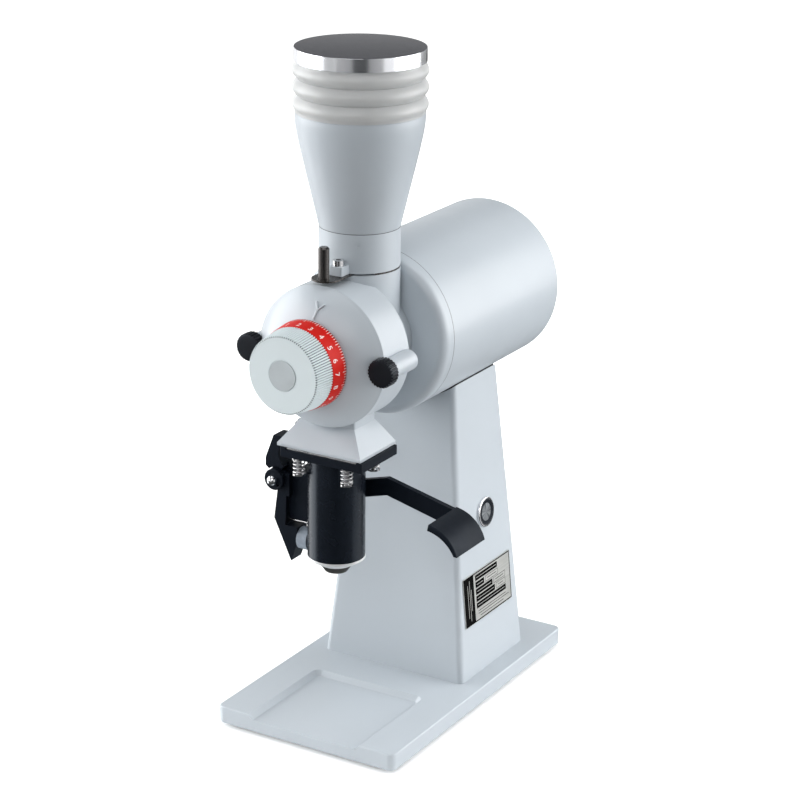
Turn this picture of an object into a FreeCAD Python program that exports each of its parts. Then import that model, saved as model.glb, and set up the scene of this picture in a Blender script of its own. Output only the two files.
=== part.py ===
# Electric coffee grinder: a motor on a tapered column, a burr chamber with its hopper in
# front, and a sprung chute with a knocking lever over a cup recess.  Lengths in millimetres.
# X is to the right of a person who faces the adjusting knob, Y is towards the back, Z is up.
# The origin is the centre of the base plate's underside.
import FreeCAD, Part
import math
import os

V = FreeCAD.Vector
AXIS_X = V(1, 0, 0)
AXIS_Y = V(0, 1, 0)
AXIS_Z = V(0, 0, 1)

# Clearances that several pieces share
cut_overrun = 2.0
running_clearance = 0.05
thread_clearance = 0.03
slide_clearance = 0.3
face_gap = 0.3

# Base plate
base_width = 160.0
base_depth = 273.6
base_thickness = 14.0
base_corner_radius = 6.0
base_edge_round = 1.2
recess_width = 100.6
recess_length = 97.0
recess_depth = 4.0
recess_lean = 4.0
recess_corner_radius = 7.0
recess_floor_round = 1.5

# Rubber feet, pushed into the base plate by their stems
foot_radius = 12.0
foot_height = 3.0
foot_inset = 19.0
foot_stem_radius = 3.0
foot_stem_length = 7.0
foot_stem_rest = 0.5
foot_round = 0.8

# Column
column_foot_width = 128.9
column_foot_depth = 102.8
column_foot_front = -5.0
column_top_width = 80.8
column_top_depth = 68.0
column_top_front = 16.4
column_top_drop = 44.6
column_edge_radius = 5.0
column_inner_radius = 3.0
column_wall = 4.0
saddle_wall = 6.0
gasket_thickness = 1.2
gasket_inset = 1.6

# Screws from the base plate up into the column
column_screw_radius = 4.0
column_screw_grip = 20.0
column_head_radius = 6.5
column_head_height = 6.0
column_boss_radius = 9.0
column_boss_height = 26.0
column_boss_inset = 12.5

# Screws from the column's saddle up into the motor housing
motor_screw_radius = 3.0
motor_head_radius = 5.0
motor_head_height = 6.0
motor_screw_x = 22.0
motor_screw_pitch = 36.0
motor_boss_radius = 7.5
motor_boss_drop = 76.0

# Motor
axis_height = 306.6
motor_radius = 65.1
motor_wall = 3.0
motor_front = -28.2
motor_length = 156.6
rear_cap_length = 13.1
rear_cap_round = 3.0
rear_cap_wall = 4.0
rear_boss_radius = 24.0
rear_boss_height = 1.5
spigot_length = 6.0
spigot_wall = 4.0
stator_bore = 36.0
stator_setback = 36.0
stator_rear_setback = 36.6
winding_outer = 56.0
winding_inner = 39.0
winding_length = 14.0
rotor_gap = 0.6
rotor_overhang = 2.0
tie_rod_radius = 2.0
tie_rod_circle = 57.5
tie_head_radius = 4.0
tie_head_height = 3.2
tie_groove_radius = 2.6

# Shaft and bearings
burr_seat_radius = 8.0
journal_radius = 10.0
rotor_seat_radius = 10.5
rear_journal_radius = 7.5
shaft_tip_radius = 5.0
shaft_tip_rest = 3.0
front_bearing_outer = 21.0
front_bearing_width = 12.0
rear_bearing_outer = 17.5
rear_bearing_width = 11.0
bearing_hub_wall = 5.0
shaft_hole_gap = 1.0
seat_setback = 4.0

# Casting: flange, feed throat, burr chamber, hopper neck and outlet box
flange_thickness = 13.3
flange_round = 6.5
flange_web = 5.0
throat_radius = 36.0
throat_bore = 19.5
chamber_radius = 54.2
chamber_back = -75.1
chamber_length = 33.7
chamber_bore = 46.5
chamber_back_wall = 5.0
chamber_edge_round = 1.5
neck_y = -58.0
neck_radius = 30.5
neck_mouth_radius = 25.0
neck_throat_radius = 13.5
neck_rise = 57.3
outlet_half_width = 23.8
outlet_front = -102.9
outlet_back = -73.5
outlet_drop = 55.0
outlet_wall = 4.0
outlet_edge_round = 2.0
lug_offset = 57.2
lug_radius = 7.9
lug_back = -82.0
stud_radius = 3.0
stud_root = 18.0

# Gate and hopper collar
spacer_thickness = 1.5
spacer_inset = 0.4
gate_thickness = 1.2
gate_half_width = 24.0
gate_tongue_half_width = 11.0
gate_tongue_shoulder = 31.0
gate_tongue_reach = 57.0
pin_radius = 4.1
pin_height = 24.0
pin_reach = 49.4
pin_chamfer = 1.2
collar_height = 29.5
collar_bore = 25.5
collar_socket_radius = 28.2
collar_socket_depth = 16.0
collar_relief_gap = 0.5
collar_lug_x = 3.5
collar_lug_half_width = 5.5
collar_lug_reach = 9.0
collar_lug_height = 6.8
collar_lug_root = 4.0
lug_screw_radius = 2.0
lug_head_radius = 4.2
lug_head_height = 4.4
collar_screw_radius = 1.25
collar_screw_depth = 12.0
set_screw_radius = 1.6
set_screw_angle = 30.0
set_screw_drop = 8.0

# Hopper cone
cone_height = 85.2
cone_band = 10.5
cone_top_radius = 47.9
cone_wall = 2.0
cone_spigot_wall = 2.0

# Bellows and lid
bellows_peak = 49.9
bellows_valley = 45.2
bellows_wall = 1.6
bellows_convolutions = 3
bellows_pitch = 12.4
bellows_plug_depth = 9.0
bellows_plug_gap = 0.35
lid_radius = 48.4
lid_height = 10.3
lid_wall = 2.5
lid_edge_round = 0.6
lid_plug_radius = 40.0
lid_plug_depth = 7.0

# Front cover and its thumb screws
cover_depth = 19.7
cover_face_radius = 35.0
cover_shoulder_radius = 48.6
cover_shoulder_back = 13.3
cover_band = 2.2
cover_wall = 5.0
cover_register = 4.0
cover_register_gap = 0.15
cover_boss_radius = 13.0
cover_boss_depth = 9.0
ear_thickness = 4.2
ear_hole_gap = 0.4
head_radius = 10.9
head_thickness = 9.5
head_scallops = 22
head_scallop_radius = 1.1
head_scallop_share = 0.35
head_face_round = 1.4
head_relief = 0.4

# Knob and dial
dial_gap = 0.5
dial_length = 15.6
dial_radius = 33.6
dial_wall = 3.0
knob_length = 18.0
knob_back_radius = 31.6
knob_front_radius = 29.4
knob_face_radius = 28.0
knob_face_chamfer = 1.3
knob_hub_radius = 12.0
knob_web = 6.0
spindle_radius = 6.0
spindle_grip = 9.0
knob_cap_radius = 11.3
knob_cap_depth = 2.0
knob_cap_proud = 0.4

# Burrs and carriers
burr_outer = 30.0
burr_bore = 15.0
burr_thickness = 6.0
burr_gap = 0.7
burr_grooves = 18
burr_groove_width = 2.4
burr_groove_depth = 1.6
burr_screw_radius = 1.5
burr_screw_circle = 22.5
burr_screw_count = 3
burr_screw_head = 2.8
burr_head_depth = 2.4
carrier_radius = 33.0
carrier_thickness = 6.0
carrier_hub_radius = 13.0
carrier_spoke_width = 7.0
wiper_reach = 43.0
wiper_width = 5.0
slider_stem_radius = 9.0
key_radius = 2.0
key_circle = 25.0
slider_room = 1.0
thrust_radius = 8.0
thrust_thickness = 2.0
shaft_nut_radius = 8.5
shaft_nut_length = 5.0

# Feed auger
auger_radius = 18.0
auger_core = 11.0
auger_pitch = 15.0
auger_turns = 1.75
auger_flight = 2.6
auger_steps = 12

# Skirt under the outlet box
skirt_half_width = 36.6
skirt_front = -115.2
skirt_back = -64.5
skirt_slope_height = 17.5
skirt_lip = 2.3
skirt_wall = 2.0
hanger_boss_radius = 4.0

# Shaker plate, its steel sheet, and the four sprung hangers
plate_left = -33.0
plate_right = 38.5
plate_front = -116.6
plate_back = -66.0
plate_thickness = 6.2
rail_width = 5.0
rail_gap = 0.3
sheet_thickness = 1.0
sheet_front_inset = 0.9
sheet_side_gap = 0.4
chute_y = -89.8
hanger_half_x = 21.0
hanger_half_y = 19.2
hanger_radius = 2.0
hanger_hole_gap = 0.5
hanger_head_radius = 4.9
hanger_head_height = 1.4
hanger_length = 14.8
hanger_grip = 8.0
spring_wire = 0.55
spring_radius = 4.2
spring_turns = 4.0
spring_rest_gap = 0.1

# Chute tube, ring and nozzle
chute_radius = 22.0
chute_wall = 2.0
chute_length = 87.2
ring_height = 3.4
ring_proud = 0.25
ring_chamfer = 1.2
nozzle_top_radius = 16.0
nozzle_bottom_radius = 8.6
nozzle_height = 10.0
nozzle_wall = 1.6
nozzle_seat = 3.4

# Knocker: pivot, lever, bumper and bracket
pivot_x = -49.7
pivot_drop = 27.7
hub_radius = 8.5
hub_front = -97.0
hub_back = -91.0
pivot_bolt_radius = 3.0
collar_disc_thickness = 4.0
collar_disc_hole = 0.9
collar_disc_hole_circle = 5.6
dome_radius = 4.2
dome_height = 5.4
neck_right = -38.0
neck_bottom_drop = 12.6
arm_back = -83.0
arm_top_drop = 9.6
arm_left = -48.7
arm_heel_x = -51.8
arm_heel_drop = 32.4
arm_tip_x = -36.5
arm_tip_drop = 65.0
arm_toe_x = -32.0
arm_toe_drop = 52.6
arm_right = -31.0
arm_pocket_x = -40.5
arm_pocket_drop = 36.6
web_front = -92.0
web_back = -86.0
web_left = -41.0
web_right = -24.5
web_top_rise = 7.4
web_bottom_drop = 32.1
link_left = -39.5
link_right = -26.0
link_top_rise = 5.4
link_bottom_drop = 24.6
bar_front = -66.2
bar_thickness = 4.6
bar_height = 14.0
bar_bend_x = 30.0
bar_bend_rise = 6.6
bar_start_drop = 8.6
bar_end_x = 88.0
bar_end_drop = 7.1
paddle_left = 87.3
paddle_left_drop = 6.8
paddle_mid_x = 103.6
paddle_mid_drop = 14.0
paddle_right = 112.0
paddle_right_drop = 27.6
paddle_front = -103.0
paddle_back = -60.0
paddle_thickness = 5.0
paddle_tip_thickness = 3.0
paddle_edge_round = 1.2
bumper_radius = 8.8
bumper_drop = 46.6
bumper_stud_radius = 2.5
bumper_stud_length = 6.0
stop_radius = 1.2
stop_drop = 33.9
bracket_gap = 0.8
ear_radius = 8.0
ear_front = -90.4
ear_back = -85.0
claw_left = -59.4
claw_root_rise = 9.1
claw_lip_x = -42.6
claw_lip_rise = 10.9
claw_shoulder_rise = 15.4
claw_top_x = -52.0
claw_top_rise = 34.8
claw_inner_x = -47.6
claw_inner_rise = 20.4
claw_back = -83.0
pad_height = 12.0
pad_thickness = 3.0
pad_front = -93.0
pad_back = -70.0
bracket_screw_radius = 1.6
bracket_head_radius = 3.0
bracket_head_height = 2.0
bracket_screw_reach = 4.0
lever_spring_wire = 0.7
lever_spring_radius = 4.9
lever_spring_turns = 3.5
lever_spring_pitch = 2.1
pivot_nut_radius = 6.2
pivot_nut_height = 3.6

# Push switch, name plate and mains inlet on the column
button_y = 49.0
button_z = 141.6
bezel_radius = 12.3
bezel_bore = 10.2
bezel_proud = 2.2
barrel_radius = 11.0
barrel_length = 24.0
button_radius = 9.9
button_proud = 1.6
button_depth = 7.0
plate_y = 44.6
plate_z = 77.4
name_plate_length = 76.0
name_plate_height = 41.5
name_plate_thickness = 0.8
name_plate_corner = 1.5
inlet_z = 52.0
inlet_width = 30.0
inlet_height = 24.0
inlet_flange = 2.0
inlet_rim = 5.0
inlet_depth = 17.0
inlet_wall = 2.0
inlet_pin_width = 2.0
inlet_pin_height = 4.0
inlet_pin_pitch = 7.0
inlet_pin_length = 12.0

# Places that follow from the sizes above
motor_back = motor_front + motor_length
cap_back = motor_back + rear_cap_length
stator_length = motor_length - stator_setback - stator_rear_setback
flange_front = motor_front - flange_thickness
chamber_front = chamber_back - chamber_length
cover_front = chamber_front - cover_depth
dial_back = cover_front - dial_gap
dial_front = dial_back - dial_length
knob_front = dial_front - knob_length
column_top_level = axis_height - column_top_drop
column_height = column_top_level - base_thickness
neck_top = axis_height + neck_rise
outlet_bottom = axis_height - outlet_drop
collar_bottom = neck_top + spacer_thickness
collar_top = collar_bottom + collar_height
cone_top = collar_top + cone_height
lid_bottom = cone_top + bellows_convolutions * bellows_pitch
skirt_slope_bottom = outlet_bottom - skirt_slope_height
skirt_bottom = skirt_slope_bottom - skirt_lip
rail_top = skirt_bottom - rail_gap
plate_top = rail_top - sheet_thickness
plate_bottom = plate_top - plate_thickness
chute_bottom = plate_top - chute_length
pivot_z = plate_bottom - pivot_drop
neck_bottom = pivot_z - neck_bottom_drop
arm_top = pivot_z - arm_top_drop
arm_heel_z = pivot_z - arm_heel_drop
arm_tip_z = pivot_z - arm_tip_drop
arm_toe_z = pivot_z - arm_toe_drop
arm_pocket_z = pivot_z - arm_pocket_drop
web_top = pivot_z + web_top_rise
web_bottom = pivot_z - web_bottom_drop
link_top = pivot_z + link_top_rise
link_bottom = pivot_z - link_bottom_drop
bar_bend_z = pivot_z + bar_bend_rise
bar_start_z = pivot_z - bar_start_drop
bar_end_z = pivot_z - bar_end_drop
paddle_left_z = pivot_z - paddle_left_drop
paddle_mid_z = pivot_z - paddle_mid_drop
paddle_right_z = pivot_z - paddle_right_drop
bumper_z = pivot_z - bumper_drop
stop_z = pivot_z - stop_drop
claw_root_z = pivot_z + claw_root_rise
claw_lip_z = pivot_z + claw_lip_rise
claw_shoulder_z = pivot_z + claw_shoulder_rise
claw_top_z = pivot_z + claw_top_rise
claw_inner_z = pivot_z + claw_inner_rise
hanger_shank_bottom = plate_bottom - hanger_length + hanger_head_height
front_bearing_back = motor_front + spigot_length
front_bearing_front = front_bearing_back - front_bearing_width
rear_bearing_back = cap_back - rear_cap_wall
rear_bearing_front = rear_bearing_back - rear_bearing_width
inner_carrier_back = chamber_back - chamber_back_wall - face_gap - wiper_width
inner_carrier_front = inner_carrier_back - carrier_thickness
inner_burr_front = inner_carrier_front - burr_thickness
outer_burr_back = inner_burr_front - burr_gap
outer_burr_front = outer_burr_back - burr_thickness
slider_front = outer_burr_front - carrier_thickness
# Shares: how far one size goes along another
ear_height_share = 0.8  # half the height of an ear's web, of the lug's radius
gate_shoulder_share = 0.4  # how far back the gate's shoulder starts, of its half width
gate_shoulder_round_share = 0.35
gate_shoulder_reach_share = 0.2
collar_lug_round_share = 0.25
burr_groove_start_share = 0.6  # where the grooves start, of the burr's bore
burr_screw_reach_share = 0.7  # of the carrier's thickness
slider_bore_share = 0.8  # of the burr's bore
auger_root_share = 0.9  # where a flight starts inside the auger's core
cover_round_share = 1.6  # how far the cover's inner round stays in, of its wall
column_cut_depth = 3 * column_wall
arm_pocket_slope = 4 * face_gap
paddle_under_share = 0.2
paddle_low_shares = (0.6, 0.7)
claw_nose_share = 0.5
pad_middle_share = 0.6
pad_screw_shares = (0.25, 0.75)
bezel_round_share = 0.45
button_round_share = 0.4
paddle_under_x = paddle_left - paddle_under_share * paddle_thickness


def rod_x(radius, x0, x1, y, z):
    return Part.makeCylinder(radius, x1 - x0, V(x0, y, z), AXIS_X)


def rod_y(radius, y0, y1, x=0, z=axis_height):
    return Part.makeCylinder(radius, y1 - y0, V(x, y0, z), AXIS_Y)


def rod_z(radius, z0, z1, x=0, y=0):
    return Part.makeCylinder(radius, z1 - z0, V(x, y, z0), AXIS_Z)


def tube_y(outer, inner, y0, y1, x=0, z=axis_height):
    return rod_y(outer, y0, y1, x, z).cut(rod_y(inner, y0 - cut_overrun, y1 + cut_overrun, x, z))


def tube_z(outer, inner, z0, z1, x=0, y=0):
    return rod_z(outer, z0, z1, x, y).cut(rod_z(inner, z0 - cut_overrun, z1 + cut_overrun, x, y))


def block(x0, x1, y0, y1, z0, z1):
    return Part.makeBox(x1 - x0, y1 - y0, z1 - z0, V(x0, y0, z0))


def outline(points, place):
    """A closed wire: a point is (a, b), and an arc is ((mid a, mid b), (end a, end b))."""
    steps = points[1:]
    last = points[-1][1] if isinstance(points[-1][0], tuple) else points[-1]
    if last != points[0]:
        steps = steps + [points[0]]
    edges = []
    here = points[0]
    for step in steps:
        if isinstance(step[0], tuple):
            middle, end = step
            edges.append(Part.Arc(place(*here), place(*middle), place(*end)).toShape())
        else:
            end = step
            edges.append(Part.LineSegment(place(*here), place(*end)).toShape())
        here = end
    return Part.Wire(edges)


def turned_y(points, x=0, z=axis_height):
    """A solid turned about a line along Y, from points (radius, y)."""
    wire = outline(points, lambda r, y: V(x + r, y, z))
    return Part.Face(wire).revolve(V(x, 0, z), AXIS_Y, 360)


def turned_z(points, x=0, y=0):
    """A solid turned about a line along Z, from points (radius, z)."""
    wire = outline(points, lambda r, z: V(x + r, y, z))
    return Part.Face(wire).revolve(V(x, y, 0), AXIS_Z, 360)


def prism_y(points, y0, y1):
    """A solid drawn in X and Z, from y0 to y1."""
    wire = outline(points, lambda x, z: V(x, y0, z))
    return Part.Face(wire).extrude(V(0, y1 - y0, 0))


def prism_z(points, z0, z1):
    """A solid drawn in X and Y, from z0 to z1."""
    wire = outline(points, lambda x, y: V(x, y, z0))
    return Part.Face(wire).extrude(V(0, 0, z1 - z0))


def rounded_rectangle(x0, x1, y0, y1, z, radius):
    corner = radius * (1 - math.sqrt(0.5))
    points = [
        (x0 + radius, y0), (x1 - radius, y0), ((x1 - corner, y0 + corner), (x1, y0 + radius)),
        (x1, y1 - radius), ((x1 - corner, y1 - corner), (x1 - radius, y1)),
        (x0 + radius, y1), ((x0 + corner, y1 - corner), (x0, y1 - radius)),
        (x0, y0 + radius), ((x0 + corner, y0 + corner), (x0 + radius, y0)),
    ]
    return outline(points, lambda x, y: V(x, y, z))


def rectangle(x0, x1, y0, y1, z):
    return outline([(x0, y0), (x1, y0), (x1, y1), (x0, y1)], lambda x, y: V(x, y, z))


def loft(wires):
    return Part.makeLoft(wires, True, True)


def fused(first, *others):
    return first.fuse(list(others)).removeSplitter()


def rounded(shape, radius, wanted):
    """The shape with the edges that wanted(edge) picks rounded."""
    return shape.makeFillet(radius, [edge for edge in shape.Edges if wanted(edge)])


def chamfered(shape, size, wanted):
    return shape.makeChamfer(size, [edge for edge in shape.Edges if wanted(edge)])


def near(a, b):
    return abs(a - b) < running_clearance / 10


def flat_at_z(edge, z):
    box = edge.BoundBox
    return near(box.ZMin, z) and near(box.ZMax, z)


def flat_at_y(edge, y):
    box = edge.BoundBox
    return near(box.YMin, y) and near(box.YMax, y)


def upright(edge):
    box = edge.BoundBox
    return near(box.XMin, box.XMax) and near(box.YMin, box.YMax)


def corner_places(half_x, half_y, y_middle=0):
    return [(x, y_middle + y) for x in (-half_x, half_x) for y in (-half_y, half_y)]


def save(name, *solids):
    for solid in solids:
        if not solid.isValid() or solid.Volume <= 0 or not solid.Solids:
            raise ValueError(name + " is not a valid solid")
    shape = solids[0] if len(solids) == 1 else Part.makeCompound(list(solids))
    shape.exportStep("parts/" + name + ".step")
    print(name, len(shape.Solids), round(shape.Volume))


# Helices: springs are swept along arcs, two to each quarter turn

def arc_middle(start, tangent, end):
    """The middle of the arc from start, leaving along tangent, to end."""
    chord = end - start
    along = FreeCAD.Vector(chord).normalize()
    side = tangent - along * tangent.dot(along)
    half_turn = math.atan2(side.Length, tangent.dot(along)) / 2
    return start + chord * 0.5 + side.normalize() * (chord.Length / 2 * math.tan(half_turn))


def biarc(start, tangent_0, end, tangent_1):
    """Two arcs from start to end that keep both tangents."""
    chord = end - start
    both = tangent_0 + tangent_1
    spread = 2 * (1 - tangent_0.dot(tangent_1))
    reach = (-chord.dot(both) + math.sqrt(chord.dot(both) ** 2 + spread * chord.dot(chord))) / spread
    joint = (start + end + (tangent_0 - tangent_1) * reach) * 0.5
    first = Part.Arc(start, arc_middle(start, tangent_0, joint), joint).toShape()
    back = arc_middle(end, tangent_1 * -1, joint)
    second = Part.Arc(joint, back, end).toShape()
    return [first, second]


def helix_spring(centre, across, beside, axis, radius, wire_radius, pitch, turns, tail):
    """A round wire coiled about axis, with straight ends of length tail."""
    def place(turn):
        angle = 2 * math.pi * turn
        return centre + across * (radius * math.cos(angle)) + beside * (radius * math.sin(angle)) \
            + axis * (pitch * turn)

    def heading(turn):
        angle = 2 * math.pi * turn
        around = across * (-radius * math.sin(angle)) + beside * (radius * math.cos(angle))
        return (around * (2 * math.pi) + axis * pitch).normalize()

    edges = [Part.LineSegment(place(0) - heading(0) * tail, place(0)).toShape()]
    quarters = int(round(turns * 4))
    for quarter in range(quarters):
        start, end = quarter / 4, (quarter + 1) / 4
        edges += biarc(place(start), heading(start), place(end), heading(end))
    last = quarters / 4
    edges.append(Part.LineSegment(place(last), place(last) + heading(last) * tail).toShape())
    path = Part.Wire(edges)
    start = place(0) - heading(0) * tail
    profile = Part.Wire([Part.Circle(start, heading(0), wire_radius).toShape()])
    return path.makePipeShell([profile], True, False)


def least_coil_gap(radius, wire_radius, pitch, turns):
    """The least gap between points of the wire that lie at least half a turn apart."""
    steps = 24
    points = []
    for step in range(int(turns * steps) + 1):
        angle = 2 * math.pi * step / steps
        points.append(V(radius * math.cos(angle), radius * math.sin(angle), pitch * step / steps))
    gaps = [(a - b).Length for i, a in enumerate(points) for b in points[i + steps // 2:]]
    return min(gaps) - 2 * wire_radius


# Base

def base_front():
    return -base_depth / 2


def make_base_plate():
    half = base_width / 2
    wire = rounded_rectangle(-half, half, base_front(), -base_front(), 0, base_corner_radius)
    plate = Part.Face(wire).extrude(V(0, 0, base_thickness))
    plate = rounded(plate, base_edge_round, lambda e: flat_at_z(e, 0) or flat_at_z(e, base_thickness))
    plate = plate.cut(recess_tool())
    for x, y in column_screw_places():
        plate = plate.cut(rod_z(column_screw_radius + slide_clearance, -cut_overrun,
                                base_thickness + cut_overrun, x, y))
        plate = plate.cut(rod_z(column_head_radius + slide_clearance, -cut_overrun,
                                column_head_height + slide_clearance, x, y))
    for x, y in foot_places():
        plate = plate.cut(rod_z(foot_stem_radius + thread_clearance, -cut_overrun,
                                foot_stem_length + foot_stem_rest, x, y))
    return plate


def recess_tool():
    """The cup recess: open at the front edge, with leaning walls and soft corners."""
    floor = base_thickness - recess_depth
    back = base_front() + recess_length
    rise = (recess_depth + cut_overrun) / recess_depth
    wires = []
    for level, lean in ((floor, -recess_lean), (floor + recess_depth * rise, recess_lean * (rise - 1))):
        half = recess_width / 2 + lean
        wires.append(rounded_rectangle(-half, half, base_front() - recess_length, back + lean,
                                       level, recess_corner_radius + lean))
    tool = loft(wires)
    return rounded(tool, recess_floor_round, lambda e: flat_at_z(e, floor))


def foot_places():
    return corner_places(base_width / 2 - foot_inset, base_depth / 2 - foot_inset)


def make_rubber_feet():
    feet = []
    for x, y in foot_places():
        pad = rod_z(foot_radius, -foot_height, 0, x, y)
        pad = rounded(pad, foot_round, lambda e: flat_at_z(e, -foot_height))
        feet.append(fused(pad, rod_z(foot_stem_radius, 0, foot_stem_length, x, y)))
    return feet


# Column

def column_share(level):
    return (level - base_thickness) / column_height


def column_half_width(level):
    return (column_foot_width + (column_top_width - column_foot_width) * column_share(level)) / 2


def column_front_y(level):
    return column_foot_front + (column_top_front - column_foot_front) * column_share(level)


def column_back_y(level):
    depth = column_foot_depth + (column_top_depth - column_foot_depth) * column_share(level)
    return column_front_y(level) + depth


def column_section(level, inset, radius):
    half = column_half_width(level) - inset
    return rounded_rectangle(-half, half, column_front_y(level) + inset,
                             column_back_y(level) - inset, level, radius)


def column_solid(inset, radius, bottom=base_thickness):
    return loft([column_section(bottom, inset, radius), column_section(column_top_level, inset, radius)])


def column_screw_places():
    half_x = column_foot_width / 2 - column_boss_inset
    half_y = column_foot_depth / 2 - column_boss_inset
    return corner_places(half_x, half_y, column_foot_front + column_foot_depth / 2)


def motor_screw_places():
    middle = (column_top_front + column_top_front + column_top_depth) / 2
    return corner_places(motor_screw_x, motor_screw_pitch / 2, middle)


def under_motor(extra):
    """A long cylinder round the motor's axis, larger than the motor by extra."""
    return rod_y(motor_radius + extra, column_foot_front - motor_length, column_foot_front + 2 * motor_length)


def make_column():
    outer = column_solid(0, column_edge_radius)
    inner = column_solid(column_wall, column_inner_radius, base_thickness - cut_overrun)
    inner = inner.cut(under_motor(gasket_thickness + saddle_wall))
    shell = outer.cut(under_motor(gasket_thickness)).cut(inner)
    bosses = [rod_z(column_boss_radius, base_thickness, base_thickness + column_boss_height, x, y)
              for x, y in column_screw_places()]
    shell = shell.fuse([boss.common(outer) for boss in bosses])
    pads = [rod_z(motor_boss_radius, axis_height - motor_boss_drop, axis_height, x, y)
            for x, y in motor_screw_places()]
    shell = shell.fuse([pad.cut(under_motor(gasket_thickness)) for pad in pads]).removeSplitter()
    for x, y in column_screw_places():
        shell = shell.cut(rod_z(column_screw_radius + thread_clearance, base_thickness - cut_overrun,
                                base_thickness + column_screw_grip + slide_clearance, x, y))
    for x, y in motor_screw_places():
        shell = shell.cut(rod_z(motor_screw_radius + slide_clearance, base_thickness, axis_height, x, y))
    shell = shell.cut(on_side(rod_x(barrel_radius + slide_clearance, -column_cut_depth, cut_overrun, 0, 0),
                              button_y, button_z))
    return shell.cut(on_back(inlet_block(slide_clearance, -column_cut_depth, cut_overrun), inlet_z))


def make_column_screws():
    screws = []
    for x, y in column_screw_places():
        head = rod_z(column_head_radius, 0, column_head_height, x, y)
        head = head.cut(hexagon(column_head_radius / 2, -cut_overrun, column_head_height / 2, x, y))
        shank = rod_z(column_screw_radius, column_head_height, base_thickness + column_screw_grip, x, y)
        screws.append(fused(head, shank))
    return screws


def hexagon(radius, z0, z1, x, y):
    corners = []
    for corner in range(6):
        angle = math.pi * corner / 3
        corners.append((x + radius * math.cos(angle), y + radius * math.sin(angle)))
    return prism_z(corners, z0, z1)


def make_column_gasket():
    sheet = column_solid(gasket_inset, column_inner_radius)
    return sheet.cut(under_motor(running_clearance)).common(under_motor(gasket_thickness)) \
        .cut(motor_screw_holes(motor_screw_radius + slide_clearance))


def motor_screw_holes(radius):
    holes = [rod_z(radius, base_thickness, axis_height, x, y) for x, y in motor_screw_places()]
    return holes[0].fuse(holes[1:])


def make_motor_screws():
    screws = []
    head_top = axis_height - motor_boss_drop
    inside = math.sqrt((motor_radius - motor_wall) ** 2 - (motor_screw_x - motor_screw_radius) ** 2)
    for x, y in motor_screw_places():
        head = rod_z(motor_head_radius, head_top - motor_head_height, head_top, x, y)
        shank = rod_z(motor_screw_radius, head_top, axis_height - inside - slide_clearance, x, y)
        screws.append(fused(head, shank))
    return screws


def on_side(shape, y, z):
    """Turn and move a shape drawn with X outwards onto the column's right face."""
    lean = math.degrees(math.atan((column_half_width(0) - column_half_width(column_height)) / column_height))
    shape.Placement = FreeCAD.Placement(V(column_half_width(z), y, z), FreeCAD.Rotation(AXIS_Y, -lean))
    return shape


def on_back(shape, z):
    """Turn and move a shape drawn with Y outwards onto the column's back face."""
    lean = math.degrees(math.atan((column_back_y(0) - column_back_y(column_height)) / column_height))
    shape.Placement = FreeCAD.Placement(V(0, column_back_y(z), z), FreeCAD.Rotation(AXIS_X, lean))
    return shape


# Motor

def make_motor_housing():
    shell = tube_y(motor_radius, motor_radius - motor_wall, motor_front, motor_back)
    return shell.cut(motor_screw_holes(motor_screw_radius + thread_clearance))


def tie_rod_places():
    offset = tie_rod_circle * math.sqrt(0.5)
    return [(x, axis_height + z) for x in (-offset, offset) for z in (-offset, offset)]


def make_rear_cap():
    inside = motor_radius - motor_wall - thread_clearance
    hub = rear_bearing_outer + bearing_hub_wall
    cap = rod_y(motor_radius, motor_back, cap_back)
    cap = rounded(cap, rear_cap_round, lambda e: flat_at_y(e, cap_back))
    cap = cap.cut(rod_y(inside - spigot_wall, motor_back - cut_overrun, cap_back - rear_cap_wall))
    spigot = tube_y(inside, inside - spigot_wall, motor_back - spigot_length, motor_back)
    hub_front = rear_bearing_front - shaft_hole_gap
    ring = rod_y(hub, hub_front, cap_back - rear_cap_wall)
    nose = rod_y(rear_boss_radius, cap_back - rear_cap_wall, cap_back + rear_boss_height)
    cap = fused(cap, spigot, ring, nose)
    cap = cap.cut(rod_y(rear_bearing_outer + thread_clearance, hub_front - cut_overrun, rear_bearing_back))
    for x, z in tie_rod_places():
        cap = cap.cut(rod_y(tie_rod_radius + slide_clearance, motor_back - spigot_length - cut_overrun,
                            cap_back + cut_overrun, x, z))
    return cap


def make_tie_rods():
    rods = []
    root = flange_front + flange_web
    for x, z in tie_rod_places():
        head = rod_y(tie_head_radius, cap_back, cap_back + tie_head_height, x, z)
        rods.append(fused(head, rod_y(tie_rod_radius, root, cap_back, x, z)))
    return rods


def stator_front():
    return motor_front + stator_setback


def make_stator():
    back = stator_front() + stator_length
    core = tube_y(motor_radius - motor_wall - thread_clearance, stator_bore, stator_front(), back)
    for x, z in tie_rod_places():
        core = core.cut(rod_y(tie_groove_radius, stator_front() - cut_overrun, back + cut_overrun, x, z))
    return core


def make_windings():
    back = stator_front() + stator_length
    ends = []
    for y0, y1 in ((stator_front() - winding_length, stator_front()), (back, back + winding_length)):
        ends.append(tube_y(winding_outer - tie_groove_radius - tie_rod_radius, winding_inner, y0, y1))
    return ends


def make_rotor_core():
    core = tube_y(stator_bore - rotor_gap, rotor_seat_radius + thread_clearance,
                  stator_front() + rotor_overhang, stator_front() + stator_length - rotor_overhang)
    return core


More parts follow.
